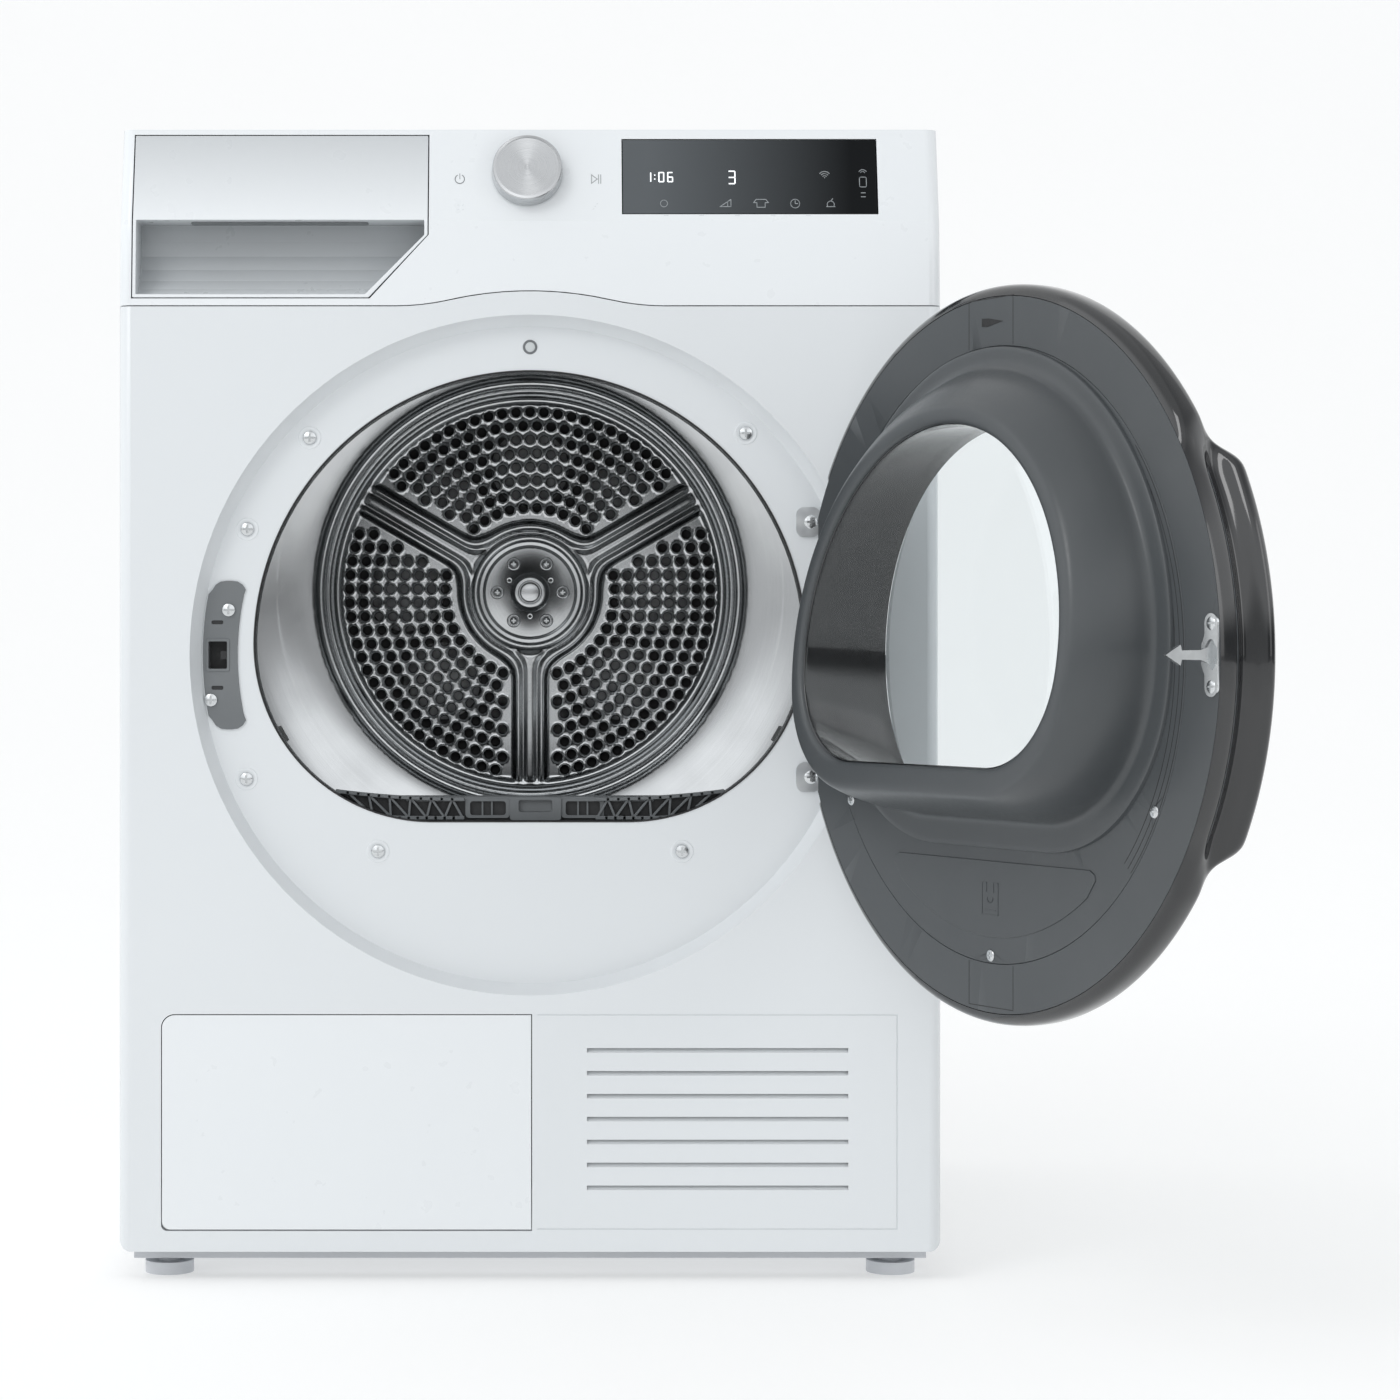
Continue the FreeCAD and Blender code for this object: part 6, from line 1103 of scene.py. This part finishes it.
def trim_profile(angle):
    """(radius, behind the face) of the trim, which wraps the ring except at the grip and the hinges."""
    away = abs(angle % 360 - 180)
    grip = 1 - smooth(away, GRIP_HALF - 5, GRIP_HALF + 5)
    signed = (angle + 180) % 360 - 180
    past_start = smooth(signed, HINGE_GAP[0] - 1.2, HINGE_GAP[0])
    past_end = smooth(signed, HINGE_GAP[1], HINGE_GAP[1] + 1.2)
    hinge = past_start * (1 - past_end)
    wrapped = [(236.1, 0.1), (238.6, 0.5), (241.4, 2.2), (243.2, 5.0), (243.9, 8.5), (243.9, 14.0)]
    bare = [(232.0, 14.4), (234.0, 14.3), (237.0, 14.2), (240.0, 14.2), (243.0, 14.3), (243.9, 15.0)]
    back = [(243.2, 17.5), (241.5, 19.6), (239.0, 21.6), (236.0, 23.4), (232.0, 25.6), (227.0, 28.8),
            (221.5, 32.4), (214.0, 36.8), (206.0, 40.4), (198.0, 42.9), (190.0, 44.0), (178.0, 40.0),
            (166.0, 30.8), (157.6, 22.8), (153.4, 19.2)]
    held = [(236.0, 0.3), (236.25, 2.5), (236.3, 6.0), (236.3, 10.0), (235.8, 13.8), (233.6, 16.6),
            (231.6, 19.2), (231.2, 21.6), (233.0, 24.2), (236.6, 26.4), (240.6, 28.0), (243.4, 30.2),
            (243.9, 34.6), (241.6, 38.0), (232.0, 40.6), (218.0, 42.8), (190.0, 44.0), (178.0, 40.0),
            (166.0, 30.8), (157.6, 22.8), (153.4, 19.2)]
    edge = [(a + (c - a) * hinge, b + (d - b) * hinge) for (a, b), (c, d) in zip(wrapped, bare)]
    return [(a + (c - a) * grip, b + (d - b) * grip) for (a, b), (c, d) in zip(edge + back, held)]


def outer_trim():
    """Glossy outer ring with its rolled grip lip."""
    count = 360
    rings_ = []
    for i in range(count):
        degrees = 360 * i / count
        angle = math.radians(degrees)
        rings_.append([(radius * math.cos(angle), FACE_Y - behind, RING_Z + radius * math.sin(angle))
                       for radius, behind in trim_profile(degrees)])
    sections = [[ring[level] for ring in rings_] for level in range(len(rings_[0]))]
    points, faces = loft(sections)
    made = piece("door_trim_ring", points, faces, "black_gloss", "door", door=True, sharp=70,
                 replaces=("door_outer_trim",))
    made.modifiers.new("smoother", "SUBSURF").render_levels = 1


def door_face_details():
    """Seams, tabs and the low panel on the door's inner face."""
    def face(x, z, height):
        return x, FACE_Y + height, RING_Z + z

    lines = []
    for side, far in ((1, 235.0), (-1, 232.0)):
        tab = [(-25, side * 203.0), (-25, side * far), (25, side * far), (25, side * 203.0)]
        lines.append(tab)
    for radius in (193, 197.5, 201.5):
        lines.append(arc(0, 0, radius, 140, 222, 60))
    piece("door_seams", *strokes(lines, 0.55, -0.3, 0.06, face), "black_rubber", "door", door=True)
    span = math.degrees(math.asin(113 / 186.0))
    lower = arc(0, 0, 186, 270 - span + 3, 270 + span - 3, 40)
    outline = [(108, -135.5), (-108, -135.5), (-113, -138), (-114, -142)] + lower
    outline += [(114, -142), (113, -138)]
    points, faces = slab([outline], -0.2, 0.7, face)
    made = piece("door_low_panel", points, faces, "dark_grey_plastic", "door", door=True)
    soften(made, 0.45)
    sign = [[(-9, -171), (-9, -150), (-4, -150), (-4, -156)],
            [(4, -156), (4, -150), (9, -150), (9, -171), (-9, -171)], [(-6, -168), (6, -168)],
            arc(0, -160, 3.2, 180, 360, 8)]
    piece("door_sign", *strokes(sign, 0.7, 0.5, 0.95, face), "dark_grey_plastic", "door", door=True)
    wedge = [[(-14, 219), (2, 222), (10, 222.5), (10, 217), (4, 216.5)]]
    piece("door_tab_slot", *slab(wedge, -0.1, 0.25, face), "black_rubber", "door", door=True)


def strike():
    """Metal strike: a plate with rounded ends, and a hook with a pointed head."""
    x = LATCH_X
    outline = rounded([(x - 6, RING_Z - 25), (x + 6, RING_Z - 25), (x + 6, RING_Z - 12),
                       (x + 9, RING_Z - 6), (x + 9, RING_Z + 6), (x + 6, RING_Z + 12),
                       (x + 6, RING_Z + 25), (x - 6, RING_Z + 25)],
                      [5.6, 5.6, 4, 3, 3, 4, 5.6, 5.6])
    plate = slab([outline], FACE_Y + 1.5, FACE_Y)
    hook = [(0, -11), (2.5, -8.5), (5, -4.6), (10, -3.0), (24, -2.7), (25, -6.2), (36, 0), (25, 6.2),
            (24, 2.7), (10, 3.0), (5, 4.6), (2.5, 8.5), (0, 11)]

    def hook_place(deep, up, height):
        return x + height, FACE_Y + deep, RING_Z + up

    arm = slab([hook], -1.4, 1.4, hook_place)
    screws = [cross_head(x, RING_Z + side * 19, FACE_Y + 1.2, 4.0, 1.0, 1) for side in (-1, 1)]
    points, faces = merge(plate, arm)
    made = piece("strike_hook", points, faces, "screw_steel", "door", door=True, replaces=("door_strike",))
    soften(made, 0.4)
    places = [polar(198, angle) for angle in (-90, -31, -151)]
    screws += [cross_head(a, b, FACE_Y, 4.0, 1.2, 1) for a, b in places]
    points, faces = merge(*screws)
    piece("door_screw_heads", points, faces, "screw_steel", "door", door=True, replaces=("door_screws",))


# ---- Studio ----
SWEEP_Y, SWEEP_RADIUS = 3500, 3000                 # where the floor begins to rise, and its curve
CAMERA_Y = -2.7                                    # metres, 2.4 in front of the front plane
LENS = 84.67
SHIFT_X, SHIFT_UP = 0.1214, -0.0321


def studio():
    """Pale sweep: a floor that curves up into a wall."""
    profile = [(-14000, 0), (SWEEP_Y, 0)]
    for i in range(1, 19):
        angle = math.radians(5 * i)
        profile.append((SWEEP_Y + SWEEP_RADIUS * math.sin(angle), SWEEP_RADIUS * (1 - math.cos(angle))))
    profile.append((SWEEP_Y + SWEEP_RADIUS, 14000))
    sections = [[(x, y, z) for y, z in profile] for x in (-16000, 16000)]
    points, faces = loft(sections, closed=False)
    mesh = bpy.data.meshes.new("studio_sweep")
    mesh.from_pydata([Vector(point) * MM for point in points], [], faces)
    mesh.materials.append(MATERIALS["studio_floor"])
    mesh.shade_smooth()
    made = bpy.data.objects.new("studio_sweep", mesh)
    bpy.context.scene.collection.objects.link(made)


def area_light(name, place, target, width, height, power):
    data = bpy.data.lights.new(name, "AREA")
    data.shape = "RECTANGLE"
    data.size, data.size_y, data.energy = width, height, power
    made = bpy.data.objects.new(name, data)
    bpy.context.scene.collection.objects.link(made)
    made.location = place
    made.rotation_euler = (Vector(target) - Vector(place)).to_track_quat("-Z", "Y").to_euler()


def step_of(nodes, links, source, low, high, first, last):
    """A smooth step in the world's nodes: first below low, last above high."""
    spread = nodes.new("ShaderNodeMapRange")
    spread.interpolation_type = "SMOOTHSTEP"
    for socket, value in (("From Min", low), ("From Max", high), ("To Min", first), ("To Max", last)):
        spread.inputs[socket].default_value = value
    links.new(source, spread.inputs["Value"])
    return spread.outputs["Result"]


def studio_air():
    """World light: bright from above and from the left, darker to the right and straight ahead."""
    world = bpy.data.worlds.new("studio_air")
    bpy.context.scene.world = world
    world.use_nodes = True
    nodes, links = world.node_tree.nodes, world.node_tree.links
    shader = nodes["Background"]
    shader.inputs["Color"].default_value = (0.97, 0.985, 1.0, 1)
    way = nodes.new("ShaderNodeSeparateXYZ")
    links.new(nodes.new("ShaderNodeTexCoord").outputs["Generated"], way.inputs[0])
    side = step_of(nodes, links, way.outputs["X"], -0.6, 0.6, 1.16, 0.52)
    above = step_of(nodes, links, way.outputs["Z"], 0.1, 0.9, 0.86, 1.1)
    soft = nodes.new("ShaderNodeMath")
    soft.operation = "MULTIPLY"
    links.new(side, soft.inputs[0])
    links.new(above, soft.inputs[1])
    # mirrors of the front see a dark room with a bright strip above and a mid-grey left
    level = step_of(nodes, links, way.outputs["X"], 0.0, 0.25, 0.55, 0.18)
    rise = step_of(nodes, links, way.outputs["Z"], 0.07, 0.22, 0.0, 1.0)
    fall = step_of(nodes, links, way.outputs["Z"], 0.45, 0.75, 1.0, 0.3)
    strip = nodes.new("ShaderNodeMath")
    strip.operation = "MULTIPLY"
    links.new(rise, strip.inputs[0])
    links.new(fall, strip.inputs[1])
    lamp = strip.outputs[0]
    room = nodes.new("ShaderNodeMix")
    room.data_type = "FLOAT"
    links.new(lamp, room.inputs[0])
    links.new(level, room.inputs[2])
    room.inputs[3].default_value = 1.35
    path = nodes.new("ShaderNodeLightPath")
    seen = nodes.new("ShaderNodeMix")
    seen.data_type = "FLOAT"
    links.new(path.outputs["Is Glossy Ray"], seen.inputs[0])
    links.new(soft.outputs[0], seen.inputs[2])
    links.new(room.outputs[0], seen.inputs[3])
    links.new(seen.outputs[0], shader.inputs["Strength"])


def lights():
    studio_air()
    area_light("key", (-2.2, -3.2, 3.2), (0, 0, 0.5), 1.6, 1.6, 30)
    area_light("fill", (2.6, -2.6, 1.4), (0.2, -0.2, 0.4), 1.2, 2.0, 8)


def camera():
    """Camera at the height of the dish's centre, looking straight at the front, with a shifted frame."""
    data = bpy.data.cameras.new("camera")
    data.sensor_width = 36
    data.lens = LENS
    data.shift_x = SHIFT_X
    data.shift_y = SHIFT_UP
    made = bpy.data.objects.new("camera", data)
    bpy.context.scene.collection.objects.link(made)
    made.location = (0, CAMERA_Y, RING_Z * MM)
    made.rotation_euler = (math.radians(90), 0, 0)
    bpy.context.scene.camera = made


paint_frame()
ease_frame()
bar_prints()
display_marks()
grip_shade()
knob()
dish_screws()
hinges()
opening_shadow_line()
dish_lens()
latch_plate()
lint_grille()
filter_handle()
drum_back()
hub()
bowl()
outer_trim()
door_face_details()
strike()
studio()
lights()
camera()
bpy.context.scene.view_settings.view_transform = "Standard"
